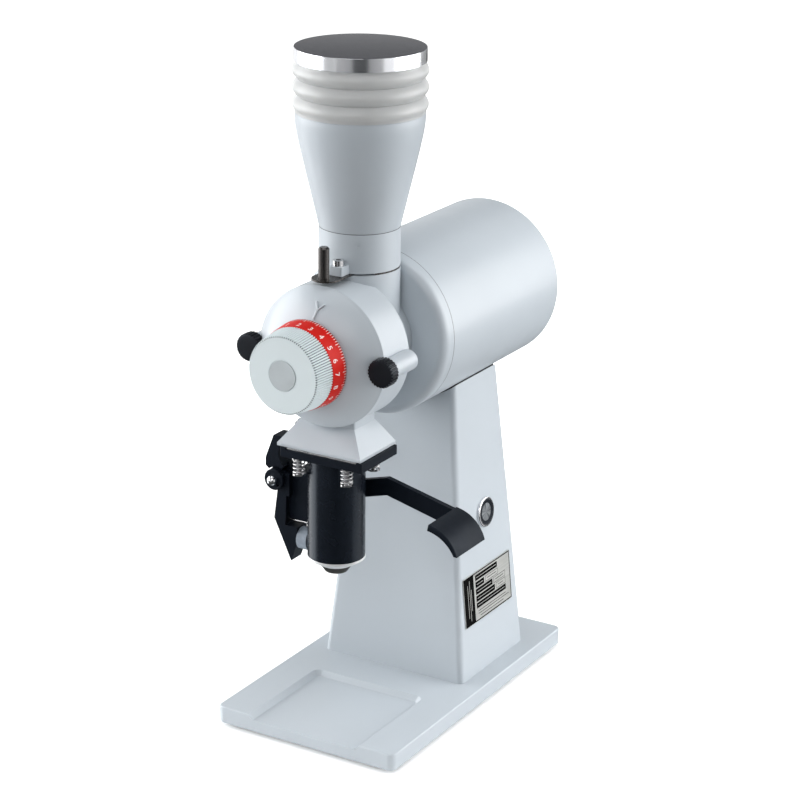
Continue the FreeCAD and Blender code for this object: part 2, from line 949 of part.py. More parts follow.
def make_shaft():
    shaft_front = inner_carrier_front - shaft_nut_length - shaft_tip_rest
    tip_back = inner_carrier_front + slide_clearance
    rotor_front = front_bearing_back + shaft_hole_gap
    rear_shoulder = rear_bearing_front - shaft_hole_gap
    seat_back = flange_front - seat_setback
    end = rear_bearing_back - shaft_hole_gap
    return turned_y([(0, shaft_front), (shaft_tip_radius, shaft_front), (shaft_tip_radius, tip_back),
                     (burr_seat_radius, tip_back), (burr_seat_radius, seat_back),
                     (journal_radius, seat_back), (journal_radius, rotor_front),
                     (rotor_seat_radius, rotor_front), (rotor_seat_radius, rear_shoulder),
                     (rear_journal_radius, rear_shoulder), (rear_journal_radius, end), (0, end)])


def make_front_bearing():
    return tube_y(front_bearing_outer, journal_radius + running_clearance,
                  front_bearing_front, front_bearing_back)


def make_rear_bearing():
    return tube_y(rear_bearing_outer, rear_journal_radius + running_clearance,
                  rear_bearing_front, rear_bearing_back)


# Casting

def make_flange():
    rim_back = motor_front
    inside = motor_radius - motor_wall - thread_clearance
    knee = flange_round * (1 - math.sqrt(0.5))
    web_back_y = flange_front + flange_web
    return turned_y([(0, flange_front), (motor_radius - flange_round, flange_front),
                     ((motor_radius - knee, flange_front + knee), (motor_radius, flange_front + flange_round)),
                     (motor_radius, rim_back), (inside, rim_back), (inside, rim_back + spigot_length),
                     (inside - spigot_wall, rim_back + spigot_length), (inside - spigot_wall, web_back_y),
                     (front_bearing_outer + bearing_hub_wall, web_back_y),
                     (front_bearing_outer + bearing_hub_wall, front_bearing_back), (0, front_bearing_back)])


def make_lugs():
    lugs = []
    for side in (-1, 1):
        x = side * lug_offset
        lugs.append(rod_y(lug_radius, chamber_front, lug_back, x))
        web = sorted((x, side * chamber_bore))
        lugs.append(block(web[0], web[1], chamber_front, lug_back,
                          axis_height - lug_radius * ear_height_share, axis_height + lug_radius * ear_height_share))
    return lugs


def make_outlet_box():
    box = block(-outlet_half_width, outlet_half_width, outlet_front, outlet_back, outlet_bottom, axis_height)
    box = rounded(box, outlet_edge_round, upright)
    return box.cut(rod_y(chamber_bore, outlet_front - cut_overrun, outlet_back + cut_overrun))


def make_grinder_body():
    chamber = rod_y(chamber_radius, chamber_front, chamber_back)
    chamber = rounded(chamber, chamber_edge_round, lambda e: flat_at_y(e, chamber_back))
    throat = rod_y(throat_radius, chamber_back - chamber_edge_round - cut_overrun, flange_front + flange_web)
    neck = rod_z(neck_radius, axis_height, neck_top, 0, neck_y)
    body = fused(make_flange(), chamber, throat, neck, make_outlet_box(), *make_lugs())
    body = body.cut(body_hollows())
    for x, z in tie_rod_places():
        body = body.cut(rod_y(tie_rod_radius + thread_clearance, flange_front + flange_web - cut_overrun / 2,
                              motor_front + spigot_length + cut_overrun, x, z))
    for x, y in collar_screw_places():
        body = body.cut(rod_z(collar_screw_radius + thread_clearance, neck_top - collar_screw_depth,
                              neck_top + cut_overrun, x, y))
    for x in (-lug_offset, lug_offset):
        body = body.cut(rod_y(stud_radius + running_clearance, chamber_front - cut_overrun,
                              chamber_front + stud_root + foot_stem_rest, x))
    return body


def body_hollows():
    """The chamber, the auger's bore, the neck's funnel, the outlet, and the bearing and shaft seats."""
    pocket = rod_z(neck_radius + slide_clearance, neck_top, axis_height + motor_radius + cut_overrun, 0, neck_y)
    chamber = rod_y(chamber_bore, chamber_front - cut_overrun, chamber_back - chamber_back_wall)
    bore = rod_y(throat_bore, chamber_front, flange_front)
    funnel = Part.makeCone(neck_throat_radius, neck_mouth_radius, neck_top - axis_height,
                           V(0, neck_y, axis_height), AXIS_Z)
    outlet = block(-outlet_half_width + outlet_wall, outlet_half_width - outlet_wall,
                   outlet_front + outlet_wall, chamber_back - chamber_back_wall,
                   outlet_bottom - cut_overrun, axis_height)
    bearing = rod_y(front_bearing_outer + thread_clearance, front_bearing_front,
                    front_bearing_back + cut_overrun)
    shaft = rod_y(journal_radius + shaft_hole_gap, flange_front - cut_overrun, front_bearing_front + cut_overrun)
    return chamber.fuse([pocket, bore, funnel, outlet, bearing, shaft])


# Gate, collar and hopper

def gate_shape(half_width, tongue_half_width, z0, z1):
    """The gate's plan: a round-ended plate with a tongue towards the front."""
    back = rod_z(half_width, z0, z1, 0, neck_y)
    shoulder = neck_y - gate_tongue_shoulder + half_width
    wide = block(-half_width, half_width, shoulder - half_width * gate_shoulder_share, neck_y, z0, z1)
    wide = rounded(wide, half_width * gate_shoulder_round_share, lambda e: upright(e) and e.BoundBox.YMax < neck_y - half_width * gate_shoulder_reach_share)
    tip = neck_y - gate_tongue_reach
    centre = tip + tongue_half_width
    tongue = block(-tongue_half_width, tongue_half_width, centre, neck_y, z0, z1)
    nose = rod_z(tongue_half_width, z0, z1, 0, centre)
    return fused(back, wide, tongue, nose)


def make_gate_plate():
    lift = (spacer_thickness - gate_thickness) / 2
    plate = gate_shape(gate_half_width, gate_tongue_half_width, neck_top + lift, collar_bottom - lift)
    return plate


def make_gate_spacer():
    """The dark shim between neck and collar, open towards the front for the gate."""
    radius = neck_radius - spacer_inset
    slot = gate_half_width + slide_clearance
    shim = rod_z(radius, neck_top, collar_bottom, 0, neck_y)
    shim = shim.cut(rod_z(slot, neck_top - cut_overrun, collar_bottom + cut_overrun, 0, neck_y))
    shim = shim.cut(block(-slot, slot, neck_y - 2 * radius, neck_y, neck_top - cut_overrun,
                          collar_bottom + cut_overrun))
    holes = [rod_z(collar_screw_radius + slide_clearance, neck_top - cut_overrun,
                   collar_bottom + cut_overrun, x, y) for x, y in collar_screw_places()]
    return shim.cut(holes)


def make_gate_pin():
    top = collar_bottom - (spacer_thickness - gate_thickness) / 2 + pin_height
    pin = rod_z(pin_radius, top - pin_height, top, 0, neck_y - pin_reach)
    return chamfered(pin, pin_chamfer, lambda e: flat_at_z(e, top))


def collar_screw_places():
    offset = (neck_radius + gate_half_width + slide_clearance) / 2
    return [(-offset, neck_y), (offset, neck_y)]


def set_screw_line(inner, outer, radius):
    """A cylinder through the collar's wall, at the set screw's height and angle."""
    angle = math.radians(set_screw_angle)
    direction = V(math.sin(angle), -math.cos(angle), 0)
    start = V(0, neck_y, collar_top - set_screw_drop) + direction * inner
    return Part.makeCylinder(radius, outer - inner, start, direction)


def make_collar():
    collar = rod_z(neck_radius, collar_bottom, collar_top, 0, neck_y)
    front = neck_y - neck_radius
    lug = block(collar_lug_x - collar_lug_half_width, collar_lug_x + collar_lug_half_width,
                front - collar_lug_reach, front + collar_lug_root, collar_bottom,
                collar_bottom + collar_lug_height)
    lug = rounded(lug, collar_lug_half_width * collar_lug_round_share, upright)
    collar = fused(collar, lug)
    collar = collar.cut(rod_z(collar_bore, collar_bottom - cut_overrun, collar_top + cut_overrun, 0, neck_y))
    collar = collar.cut(rod_z(collar_socket_radius, collar_top - collar_socket_depth,
                              collar_top + cut_overrun, 0, neck_y))
    collar = collar.cut(rod_y(motor_radius + collar_relief_gap, motor_front - collar_relief_gap,
                              neck_y + 2 * neck_radius))
    for x, y in collar_screw_places():
        collar = collar.cut(rod_z(collar_screw_radius + slide_clearance, collar_bottom - cut_overrun,
                                  collar_top - collar_socket_depth + cut_overrun, x, y))
    collar = collar.cut(lug_screw_shank(thread_clearance, collar_bottom - cut_overrun))
    return collar.cut(set_screw_line(collar_bore, neck_radius + cut_overrun, set_screw_radius + thread_clearance))


def lug_screw_shank(extra, bottom):
    y = neck_y - neck_radius - collar_lug_reach / 2
    return rod_z(lug_screw_radius + extra, bottom, collar_bottom + collar_lug_height, collar_lug_x, y)


def make_lug_screw():
    y = neck_y - neck_radius - collar_lug_reach / 2
    top = collar_bottom + collar_lug_height
    head = rod_z(lug_head_radius, top, top + lug_head_height, collar_lug_x, y)
    head = head.cut(hexagon(lug_head_radius / 2, top + lug_head_height / 2, top + lug_head_height + cut_overrun,
                            collar_lug_x, y))
    return fused(head, lug_screw_shank(0, collar_bottom + running_clearance))


def make_collar_screws():
    shelf = collar_top - collar_socket_depth
    screws = []
    for x, y in collar_screw_places():
        screws.append(rod_z(collar_screw_radius, neck_top - collar_screw_depth + running_clearance,
                            shelf - running_clearance, x, y))
    return screws


def make_set_screw():
    return set_screw_line(collar_socket_radius + running_clearance, neck_radius - set_screw_radius / 3,
                          set_screw_radius)


def make_hopper_cone():
    foot = neck_radius - (neck_radius - collar_socket_radius) - running_clearance
    spigot_bottom = collar_top - collar_socket_depth + running_clearance
    band = cone_top - cone_band
    return turned_z([(foot, spigot_bottom), (foot, collar_top), (neck_radius, collar_top),
                     (cone_top_radius, band), (cone_top_radius, cone_top),
                     (cone_top_radius - cone_wall, cone_top), (cone_top_radius - cone_wall, band),
                     (foot - cone_spigot_wall, collar_top), (foot - cone_spigot_wall, spigot_bottom)],
                    0, neck_y)


def bellows_wave(offset):
    """Points up one side of the bellows: a round convolution for each pitch."""
    points = []
    for turn in range(bellows_convolutions):
        low = cone_top + turn * bellows_pitch
        valley = (bellows_valley - offset, low)
        peak = (bellows_peak - offset, low + bellows_pitch / 2)
        following = (bellows_valley - offset, low + bellows_pitch)
        if turn == 0:
            points.append(valley)
        points.append((peak, following))
    return points


def make_bellows():
    outside = bellows_wave(0)
    inside = bellows_wave(bellows_wall)
    back = [inside[-1][1]]
    for step in range(len(inside) - 1, 0, -1):
        previous = inside[step - 1]
        end = previous if step == 1 else previous[1]
        back.append((inside[step][0], end))
    plug = cone_top_radius - cone_wall - bellows_plug_gap
    lip = lid_plug_radius + bellows_plug_gap
    top = outside[-1][1]
    points = outside + [(lip, top[1]), (lip, top[1] - bellows_wall), (back[0][0], top[1] - bellows_wall)]
    hem = [(back[-1][1][0], cone_top - bellows_plug_depth), (plug, cone_top - bellows_plug_depth),
           (plug, cone_top)]
    points += inner_run(back, top[1] - bellows_wall) + hem
    return turned_z(points, 0, neck_y)


def inner_run(back, start_level):
    """The inner wall from just under the top lip down to the cone's rim."""
    points = []
    for step in back[1:]:
        points.append(step)
    middle, end = points[0]
    points[0] = ((middle[0], (start_level + end[1]) / 2), end)
    return points


def make_lid():
    top = lid_bottom + lid_height
    lid = rod_z(lid_radius, lid_bottom, top, 0, neck_y)
    lid = rounded(lid, lid_edge_round, lambda e: flat_at_z(e, top))
    lid = lid.cut(rod_z(lid_plug_radius - lid_wall, lid_bottom - cut_overrun, top - lid_wall, 0, neck_y))
    plug = tube_z(lid_plug_radius, lid_plug_radius - lid_wall, lid_bottom - lid_plug_depth, lid_bottom, 0, neck_y)
    return fused(lid, plug)


# Front cover, knob and nuts

def make_front_cover():
    shoulder = chamber_front - cover_shoulder_back
    band = chamber_front - cover_band
    wall = cover_wall
    outside = [(0, cover_front), (cover_face_radius, cover_front),
               ((cover_shoulder_radius, shoulder), (chamber_radius, band)), (chamber_radius, chamber_front),
               (chamber_bore - cover_register_gap, chamber_front),
               (chamber_bore - cover_register_gap, chamber_front + cover_register),
               (chamber_bore - wall, chamber_front + cover_register), (chamber_bore - wall, band)]
    inside = [((cover_shoulder_radius - cover_round_share * wall, shoulder + wall / 2), (cover_face_radius, cover_front + wall)),
              (0, cover_front + wall)]
    cover = turned_y(outside + inside)
    boss = rod_y(cover_boss_radius, cover_front + wall / 2, cover_front + wall + cover_boss_depth)
    pieces = [boss]
    for x, z in key_places():
        pieces.append(rod_y(key_radius, cover_front + wall / 2, slider_front + carrier_thickness / 2, x, z))
    for side in (-1, 1):
        x = side * lug_offset
        pieces.append(rod_y(lug_radius, chamber_front - ear_thickness, chamber_front, x))
        web = sorted((x, side * chamber_bore))
        pieces.append(block(web[0], web[1], chamber_front - ear_thickness, chamber_front,
                            axis_height - lug_radius * ear_height_share, axis_height + lug_radius * ear_height_share))
    cover = fused(cover, *pieces)
    cover = cover.cut(rod_y(spindle_radius + running_clearance, cover_front - cut_overrun, chamber_front))
    cover = cover.cut(rod_y(thrust_radius + running_clearance, boss_back() - thrust_thickness - running_clearance,
                            boss_back() + cut_overrun))
    for x in (-lug_offset, lug_offset):
        cover = cover.cut(rod_y(head_radius + head_relief, cover_front, chamber_front - ear_thickness, x))
        cover = cover.cut(rod_y(stud_radius + ear_hole_gap, chamber_front - ear_thickness - cut_overrun,
                                chamber_front + cut_overrun, x))
    return cover


def key_places():
    return [(-key_circle, axis_height), (key_circle, axis_height)]


def make_thumb_screw(side):
    x = side * lug_offset
    back = chamber_front - ear_thickness - running_clearance
    front = back - head_thickness
    head = rod_y(head_radius, front, back, x)
    head = rounded(head, head_face_round, lambda e: flat_at_y(e, front))
    for scallop in range(head_scallops):
        angle = 2 * math.pi * scallop / head_scallops
        reach = head_radius + head_scallop_radius * head_scallop_share
        head = head.cut(rod_y(head_scallop_radius, front - cut_overrun, back + cut_overrun,
                              x + reach * math.cos(angle), axis_height + reach * math.sin(angle)))
    return fused(head, rod_y(stud_radius, back, chamber_front + stud_root, x))


def make_dial_ring():
    return tube_y(dial_radius, dial_radius - dial_wall, dial_front, dial_back)


def make_knob():
    inner = dial_radius - dial_wall - thread_clearance
    rim = inner - knob_web / 2
    cap_seat = knob_front + knob_cap_depth
    knob = turned_y([(0, cap_seat), (knob_cap_radius + thread_clearance, cap_seat),
                     (knob_cap_radius + thread_clearance, knob_front), (knob_face_radius, knob_front),
                     (knob_front_radius, knob_front + knob_face_chamfer), (knob_back_radius, dial_front),
                     (inner, dial_front), (inner, dial_back), (rim, dial_back), (rim, dial_front - knob_web / 2),
                     (rim, knob_front + knob_web), (knob_hub_radius, knob_front + knob_web),
                     (knob_hub_radius, dial_back), (0, dial_back)])
    return knob.cut(rod_y(spindle_radius + thread_clearance, dial_back - spindle_grip, dial_back + cut_overrun))


def make_knob_cap():
    return rod_y(knob_cap_radius, knob_front - knob_cap_proud, knob_front + knob_cap_depth)


def make_spindle():
    """The knob's screw: its thrust collar sits in the cover's boss, and its end is in the slider's hub."""
    screw = rod_y(spindle_radius, dial_back - spindle_grip + running_clearance,
                  slider_front + carrier_thickness / 2)
    return fused(screw, rod_y(thrust_radius, boss_back() - thrust_thickness, boss_back()))


def boss_back():
    return cover_front + cover_wall + cover_boss_depth


# Burrs and their carriers

def make_burr(face, back, flip):
    """A burr ring: its grooved face is at y = face, and its seat at y = back."""
    low, high = sorted((face, back))
    ring = tube_y(burr_outer, burr_bore, low, high)
    inward = 1 if back > face else -1
    for groove in range(burr_grooves):
        angle = 360 * groove / burr_grooves
        depth = sorted((face - inward * cut_overrun, face + inward * burr_groove_depth))
        tool = block(burr_bore * burr_groove_start_share, burr_outer + cut_overrun, depth[0], depth[1],
                     axis_height + flip * burr_groove_width, axis_height + flip * burr_groove_width
                     + burr_groove_width)
        tool.rotate(V(0, 0, axis_height), AXIS_Y, angle)
        ring = ring.cut(tool)
    for x, z in burr_screw_places():
        ring = ring.cut(rod_y(burr_screw_radius + slide_clearance, low - cut_overrun, high + cut_overrun, x, z))
        sunk = sorted((face - inward * cut_overrun, face + inward * (burr_head_depth + burr_groove_depth)))
        ring = ring.cut(rod_y(burr_screw_head + slide_clearance, sunk[0], sunk[1], x, z))
    return ring


def burr_screw_places():
    places = []
    for screw in range(burr_screw_count):
        angle = 2 * math.pi * screw / burr_screw_count + math.pi / 2
        places.append((burr_screw_circle * math.cos(angle), axis_height + burr_screw_circle * math.sin(angle)))
    return places


def make_burr_screws(face, back):
    inward = 1 if back > face else -1
    head = sorted((face + inward * burr_groove_depth, face + inward * (burr_groove_depth + burr_head_depth)))
    shank = sorted((face + inward * burr_groove_depth, back + inward * carrier_thickness * burr_screw_reach_share))
    return [fused(rod_y(burr_screw_head, head[0], head[1], x, z),
                  rod_y(burr_screw_radius, shank[0], shank[1], x, z)) for x, z in burr_screw_places()]


def make_inner_carrier():
    """The turning burr's carrier: a spoked disc, with three wipers behind it."""
    disc = tube_y(carrier_radius, burr_bore, inner_carrier_front, inner_carrier_back)
    hub = rod_y(carrier_hub_radius, inner_carrier_front, inner_carrier_back)
    pieces = [hub]
    for arm in range(3):
        spoke = block(0, (burr_bore + carrier_radius) / 2, inner_carrier_front, inner_carrier_back,
                      axis_height - carrier_spoke_width / 2, axis_height + carrier_spoke_width / 2)
        wiper = block(carrier_radius - wiper_width, wiper_reach, inner_carrier_front,
                      inner_carrier_back + wiper_width, axis_height - wiper_width / 2,
                      axis_height + wiper_width / 2)
        for piece in (spoke, wiper):
            piece.rotate(V(0, 0, axis_height), AXIS_Y, 360 * arm / 3)
            pieces.append(piece)
    carrier = fused(disc, *pieces)
    carrier = carrier.cut(rod_y(burr_seat_radius + thread_clearance, inner_carrier_front - cut_overrun,
                                inner_carrier_back + wiper_width + cut_overrun))
    for x, z in burr_screw_places():
        carrier = carrier.cut(rod_y(burr_screw_radius + thread_clearance, inner_carrier_front - cut_overrun,
                                    inner_carrier_back + wiper_width + cut_overrun, x, z))
    return carrier


def make_burr_slider():
    """The still burr's carrier: a disc on a stem, held from turning by two keys."""
    disc = rod_y(carrier_radius, slider_front, outer_burr_front)
    stem_front = boss_back() + slider_room
    stem = rod_y(slider_stem_radius, stem_front, slider_front)
    slider = fused(disc, stem)
    slider = slider.cut(rod_y(spindle_radius + running_clearance, stem_front - cut_overrun, outer_burr_front))
    slider = slider.cut(rod_y(burr_bore * slider_bore_share, slider_front + carrier_thickness / 2, outer_burr_front + cut_overrun))
    for x, z in key_places():
        slider = slider.cut(rod_y(key_radius + running_clearance, stem_front - cut_overrun,
                                  outer_burr_front + cut_overrun, x, z))
    for x, z in burr_screw_places():
        slider = slider.cut(rod_y(burr_screw_radius + thread_clearance, stem_front - cut_overrun,
                                  outer_burr_front + cut_overrun, x, z))
    return slider


def make_shaft_nut():
    front = inner_carrier_front - shaft_nut_length
    nut = prism_hex_y(shaft_nut_radius, front, inner_carrier_front)
    return nut.cut(rod_y(shaft_tip_radius + thread_clearance, front - cut_overrun,
                         inner_carrier_front + cut_overrun))


def prism_hex_y(radius, y0, y1, x=0, z=axis_height):
    corners = []
    for corner in range(6):
        angle = math.pi * corner / 3
        corners.append((x + radius * math.cos(angle), z + radius * math.sin(angle)))
    return prism_y(corners, y0, y1)


def make_auger():
    """A cast feed screw: a core with one flight, lofted through radial sections."""
    back = flange_front - seat_setback - face_gap
    front = inner_carrier_back + wiper_width + face_gap
    core = rod_y(auger_core, front, back)
    start = (front + back) / 2 - auger_pitch * auger_turns / 2
    sections = []
    for step in range(int(auger_turns * auger_steps) + 1):
        angle = 2 * math.pi * step / auger_steps
        y = start + auger_pitch * step / auger_steps
        sections.append(flight_section(angle, y))
    screw = fused(core, loft(sections))
    return screw.cut(rod_y(burr_seat_radius + thread_clearance, front - cut_overrun, back + cut_overrun))


def flight_section(angle, y):
    def place(radius, lift):
        return V(radius * math.cos(angle), y + lift, axis_height + radius * math.sin(angle))
    half = auger_flight / 2
    inner = auger_core * auger_root_share
    return outline([(inner, -half), (auger_radius, -half), (auger_radius, half), (inner, half)], place)


# Skirt, shaker plate and chute

def skirt_solid(inset, bottom, top):
    slope = loft([
        rectangle(-skirt_half_width + inset, skirt_half_width - inset, skirt_front + inset,
                  skirt_back - inset, skirt_slope_bottom),
        rectangle(-outlet_half_width + inset, outlet_half_width - inset, outlet_front + inset,
                  outlet_back - inset, top)])
    lip = block(-skirt_half_width + inset, skirt_half_width - inset, skirt_front + inset,
                skirt_back - inset, bottom, skirt_slope_bottom)
    return fused(slope, lip)


def hanger_places():
    return corner_places(hanger_half_x, hanger_half_y, chute_y)


def make_skirt():
    outer = skirt_solid(0, skirt_bottom, outlet_bottom)
    inner = skirt_solid(skirt_wall, skirt_bottom - cut_overrun, outlet_bottom - skirt_wall)
    shell = outer.cut(inner)
    shell = shell.cut(block(-outlet_half_width + outlet_wall, outlet_half_width - outlet_wall,
                            outlet_front + outlet_wall, outlet_back - outlet_wall,
                            skirt_bottom, outlet_bottom + cut_overrun))
    bosses = [rod_z(hanger_boss_radius, skirt_bottom + running_clearance, outlet_bottom, x, y).common(outer)
              for x, y in hanger_places()]
    shell = fused(shell, *bosses)
    for x, y in hanger_places():
        shell = shell.cut(rod_z(hanger_radius + thread_clearance, skirt_bottom - cut_overrun,
                                skirt_bottom + hanger_grip, x, y))
    for start, direction in bracket_screw_lines():
        shell = shell.cut(Part.makeCylinder(bracket_screw_radius + thread_clearance,
                                            bracket_screw_reach + 2 * cut_overrun,
                                            start - direction * (bracket_screw_reach + cut_overrun), direction))
    return shell


def make_shaker_plate():
    plate = block(plate_left, plate_right, plate_front, plate_back, plate_bottom, plate_top)
    rails = [block(x0, x1, plate_front, plate_back, plate_top, rail_top)
             for x0, x1 in ((plate_left, plate_left + rail_width), (plate_right - rail_width, plate_right))]
    plate = fused(plate, *rails)
    plate = rounded(plate, base_edge_round / 2, lambda e: upright(e) and near(e.BoundBox.YMin, plate_front))
    plate = plate.cut(rod_z(chute_radius + thread_clearance, plate_bottom - cut_overrun,
                            plate_top + cut_overrun, 0, chute_y))
    for x, y in hanger_places():
        plate = plate.cut(rod_z(hanger_radius + hanger_hole_gap, plate_bottom - cut_overrun,
                                plate_top + cut_overrun, x, y))
    return plate


def make_wear_sheet():
    sheet = block(plate_left + rail_width + sheet_side_gap, plate_right - rail_width - sheet_side_gap,
                  plate_front + sheet_front_inset, plate_back, plate_top, plate_top + sheet_thickness)
    sheet = sheet.cut(rod_z(chute_radius - chute_wall, plate_top - cut_overrun,
                            plate_top + sheet_thickness + cut_overrun, 0, chute_y))
    for x, y in hanger_places():
        sheet = sheet.cut(rod_z(hanger_radius + hanger_hole_gap, plate_top - cut_overrun,
                                plate_top + sheet_thickness + cut_overrun, x, y))
    return sheet


def make_hanger_bolts():
    bolts = []
    for x, y in hanger_places():
        head = rod_z(hanger_head_radius, hanger_shank_bottom - hanger_head_height, hanger_shank_bottom, x, y)
        shank = rod_z(hanger_radius, hanger_shank_bottom, skirt_bottom + hanger_grip - running_clearance, x, y)
        bolts.append(fused(head, shank))
    return bolts


def hanger_spring_pitch():
    room = plate_bottom - hanger_shank_bottom - 2 * (spring_wire + spring_rest_gap)
    return room / spring_turns


def make_hanger_springs():
    springs = []
    pitch = hanger_spring_pitch()
    bottom = hanger_shank_bottom + spring_wire + spring_rest_gap
    for x, y in hanger_places():
        springs.append(helix_spring(V(x, y, bottom), AXIS_X, AXIS_Y, AXIS_Z, spring_radius, spring_wire,
                                    pitch, spring_turns, spring_wire))
    print("least gap in a hanger spring", round(least_coil_gap(spring_radius, spring_wire, pitch, spring_turns), 2))
    return springs


def make_chute_tube():
    return tube_z(chute_radius, chute_radius - chute_wall, chute_bottom, plate_top, 0, chute_y)


def make_chute_ring():
    bottom = chute_bottom - ring_height
    outer = chute_radius + ring_proud
    bore = nozzle_top_radius - thread_clearance
    step = chute_radius - chute_wall - thread_clearance
    seat = bottom + nozzle_seat / 2
    ring = turned_z([(bore, bottom), (outer - ring_chamfer, bottom), (outer, bottom + ring_chamfer),
                     (outer, chute_bottom), (step, chute_bottom), (step, chute_bottom + nozzle_seat),
                     (step - chute_wall / 2, chute_bottom + nozzle_seat), (step - chute_wall / 2, seat),
                     (bore, seat)], 0, chute_y)
    return ring


def make_chute_nozzle():
    top = chute_bottom - ring_height
    bottom = top - nozzle_height
    wall = nozzle_wall
    seat = nozzle_top_radius - 2 * thread_clearance
    return turned_z([(nozzle_bottom_radius, bottom), (seat, top), (seat, top + nozzle_seat),
                     (seat - wall, top + nozzle_seat), (seat - wall, top),
                     (nozzle_bottom_radius - wall, bottom)], 0, chute_y)


# Knocker and hand lever

def make_hand_lever():
    hub = rod_y(hub_radius, hub_front, hub_back, pivot_x, pivot_z)
    neck = block(arm_left, neck_right, hub_front, hub_back, neck_bottom, link_top)
    arm = prism_y([(arm_left, arm_top), (arm_pocket_x, arm_top), (arm_pocket_x - arm_pocket_slope, arm_pocket_z),
                   (arm_right, arm_pocket_z), (arm_right, arm_toe_z + bumper_stud_radius),
                   (arm_toe_x, arm_toe_z), (arm_tip_x, arm_tip_z), (arm_heel_x, arm_heel_z)],
                  hub_front, arm_back)
    web = block(web_left, web_right, web_front, web_back, web_bottom, web_top)
    link = block(link_left, link_right, web_back - cut_overrun, bar_front + bar_thickness, link_bottom, link_top)
    rise = (bar_bend_z - bar_start_z) / (bar_bend_x - link_right)
    fall = (bar_end_z - bar_bend_z) / (bar_end_x - bar_bend_x)
    under_end_x = bar_end_x - bar_height
    bar = prism_y([(link_left, link_top), (link_right, link_top), (link_right, bar_start_z),
                   (bar_bend_x, bar_bend_z), (bar_end_x, bar_end_z),
                   (under_end_x, bar_end_z - fall * bar_height - bar_height * math.sqrt(1 + fall * fall)),
                   (bar_bend_x + bar_height * (rise + fall) / 2, bar_bend_z - bar_height),
                   (link_right, bar_start_z - bar_height * math.sqrt(1 + rise * rise)),
                   (link_left, link_bottom)], bar_front, bar_front + bar_thickness)
    lever = fused(hub, neck, arm, web, link, bar, make_paddle())
    lever = lever.cut(rod_y(pivot_bolt_radius + running_clearance, hub_front - cut_overrun,
                            web_back, pivot_x, pivot_z))
    lever = lever.cut(rod_x(bumper_stud_radius + thread_clearance, arm_right - bumper_stud_length,
                            arm_right + cut_overrun, chute_y, bumper_z))
    return lever.cut(rod_x(stop_radius + thread_clearance, arm_pocket_x - bumper_stud_length / 2,
                           arm_right, chute_y, stop_z))


def make_paddle():
    """A pad that curves down to the right, thinner at its tip, and wide along Y."""
    thick = paddle_thickness
    tip = paddle_tip_thickness
    paddle = prism_y([(paddle_left, paddle_left_z),
                      ((paddle_mid_x, paddle_mid_z), (paddle_right, paddle_right_z)),
                      (paddle_right - tip, paddle_right_z),
                      ((paddle_mid_x - thick * paddle_low_shares[0], paddle_mid_z - thick * paddle_low_shares[1]),
                       (paddle_under_x, paddle_left_z - thick))],
                     paddle_front, paddle_back)
    return rounded(paddle, paddle_edge_round, lambda e: flat_at_y(e, paddle_front))


def make_bumper():
    face = -chute_radius - face_gap
    pad = rod_x(bumper_radius, arm_right, face, chute_y, bumper_z)
    stud = rod_x(bumper_stud_radius, arm_right - bumper_stud_length + running_clearance, arm_right, chute_y, bumper_z)
    return fused(pad, stud)


def make_stop_rod():
    return rod_x(stop_radius, arm_pocket_x - bumper_stud_length / 2 + running_clearance,
                 -chute_radius - face_gap, chute_y, stop_z)


def pivot_nut_front():
    spring_end = ear_back + lever_spring_turns * lever_spring_pitch + 4 * lever_spring_wire
    return spring_end + face_gap


def make_pivot_bolt():
    """A bolt with a domed head in front, through the disc, the lever and the bracket's ear."""
    seat = hub_front - collar_disc_thickness
    tip = seat - dome_height
    waist = seat - dome_height / 3
    bulge = dome_radius * math.sqrt(0.5)
    head = turned_y([(0, tip), ((bulge, waist - (waist - tip) * math.sqrt(0.5)), (dome_radius, waist)),
                     (dome_radius, seat), (0, seat)], pivot_x, pivot_z)
    shank = rod_y(pivot_bolt_radius, waist, pivot_nut_front() + pivot_nut_height, pivot_x, pivot_z)
    return fused(head, shank)


def make_pivot_nut():
    front = pivot_nut_front()
    nut = prism_hex_y(pivot_nut_radius, front, front + pivot_nut_height, pivot_x, pivot_z)
    return nut.cut(rod_y(pivot_bolt_radius + thread_clearance, front - cut_overrun,
                         front + pivot_nut_height + cut_overrun, pivot_x, pivot_z))


def make_pivot_disc():
    disc = rod_y(hub_radius, hub_front - collar_disc_thickness, hub_front - running_clearance, pivot_x, pivot_z)
    disc = rounded(disc, collar_disc_thickness / 4, lambda e: flat_at_y(e, hub_front - collar_disc_thickness))
    disc = disc.cut(rod_y(pivot_bolt_radius + thread_clearance, hub_front - 2 * collar_disc_thickness,
                          hub_front + cut_overrun, pivot_x, pivot_z))
    offset = collar_disc_hole_circle * math.sqrt(0.5)
    return disc.cut(rod_y(collar_disc_hole, hub_front - 2 * collar_disc_thickness, hub_front + cut_overrun,
                          pivot_x + offset, pivot_z - offset))


def make_lever_spring():
    start = V(pivot_x, ear_back + 2 * lever_spring_wire, pivot_z)
    gap = least_coil_gap(lever_spring_radius, lever_spring_wire, lever_spring_pitch, lever_spring_turns)
    print("least gap in the lever spring", round(gap, 2))
    return helix_spring(start, AXIS_X * -1, AXIS_Z, AXIS_Y, lever_spring_radius, lever_spring_wire,
                        lever_spring_pitch, lever_spring_turns, 2 * lever_spring_wire)


def skirt_slope_direction():
    """Outward normal of the skirt's left slope."""
    run = skirt_half_width - outlet_half_width
    return V(-skirt_slope_height, 0, run).normalize()


def slope_point(share, y):
    run = skirt_half_width - outlet_half_width
    return V(-skirt_half_width + run * share, y, skirt_slope_bottom + skirt_slope_height * share)


def pad_top_share():
    run = skirt_half_width - outlet_half_width
    return pad_height / math.hypot(run, skirt_slope_height)


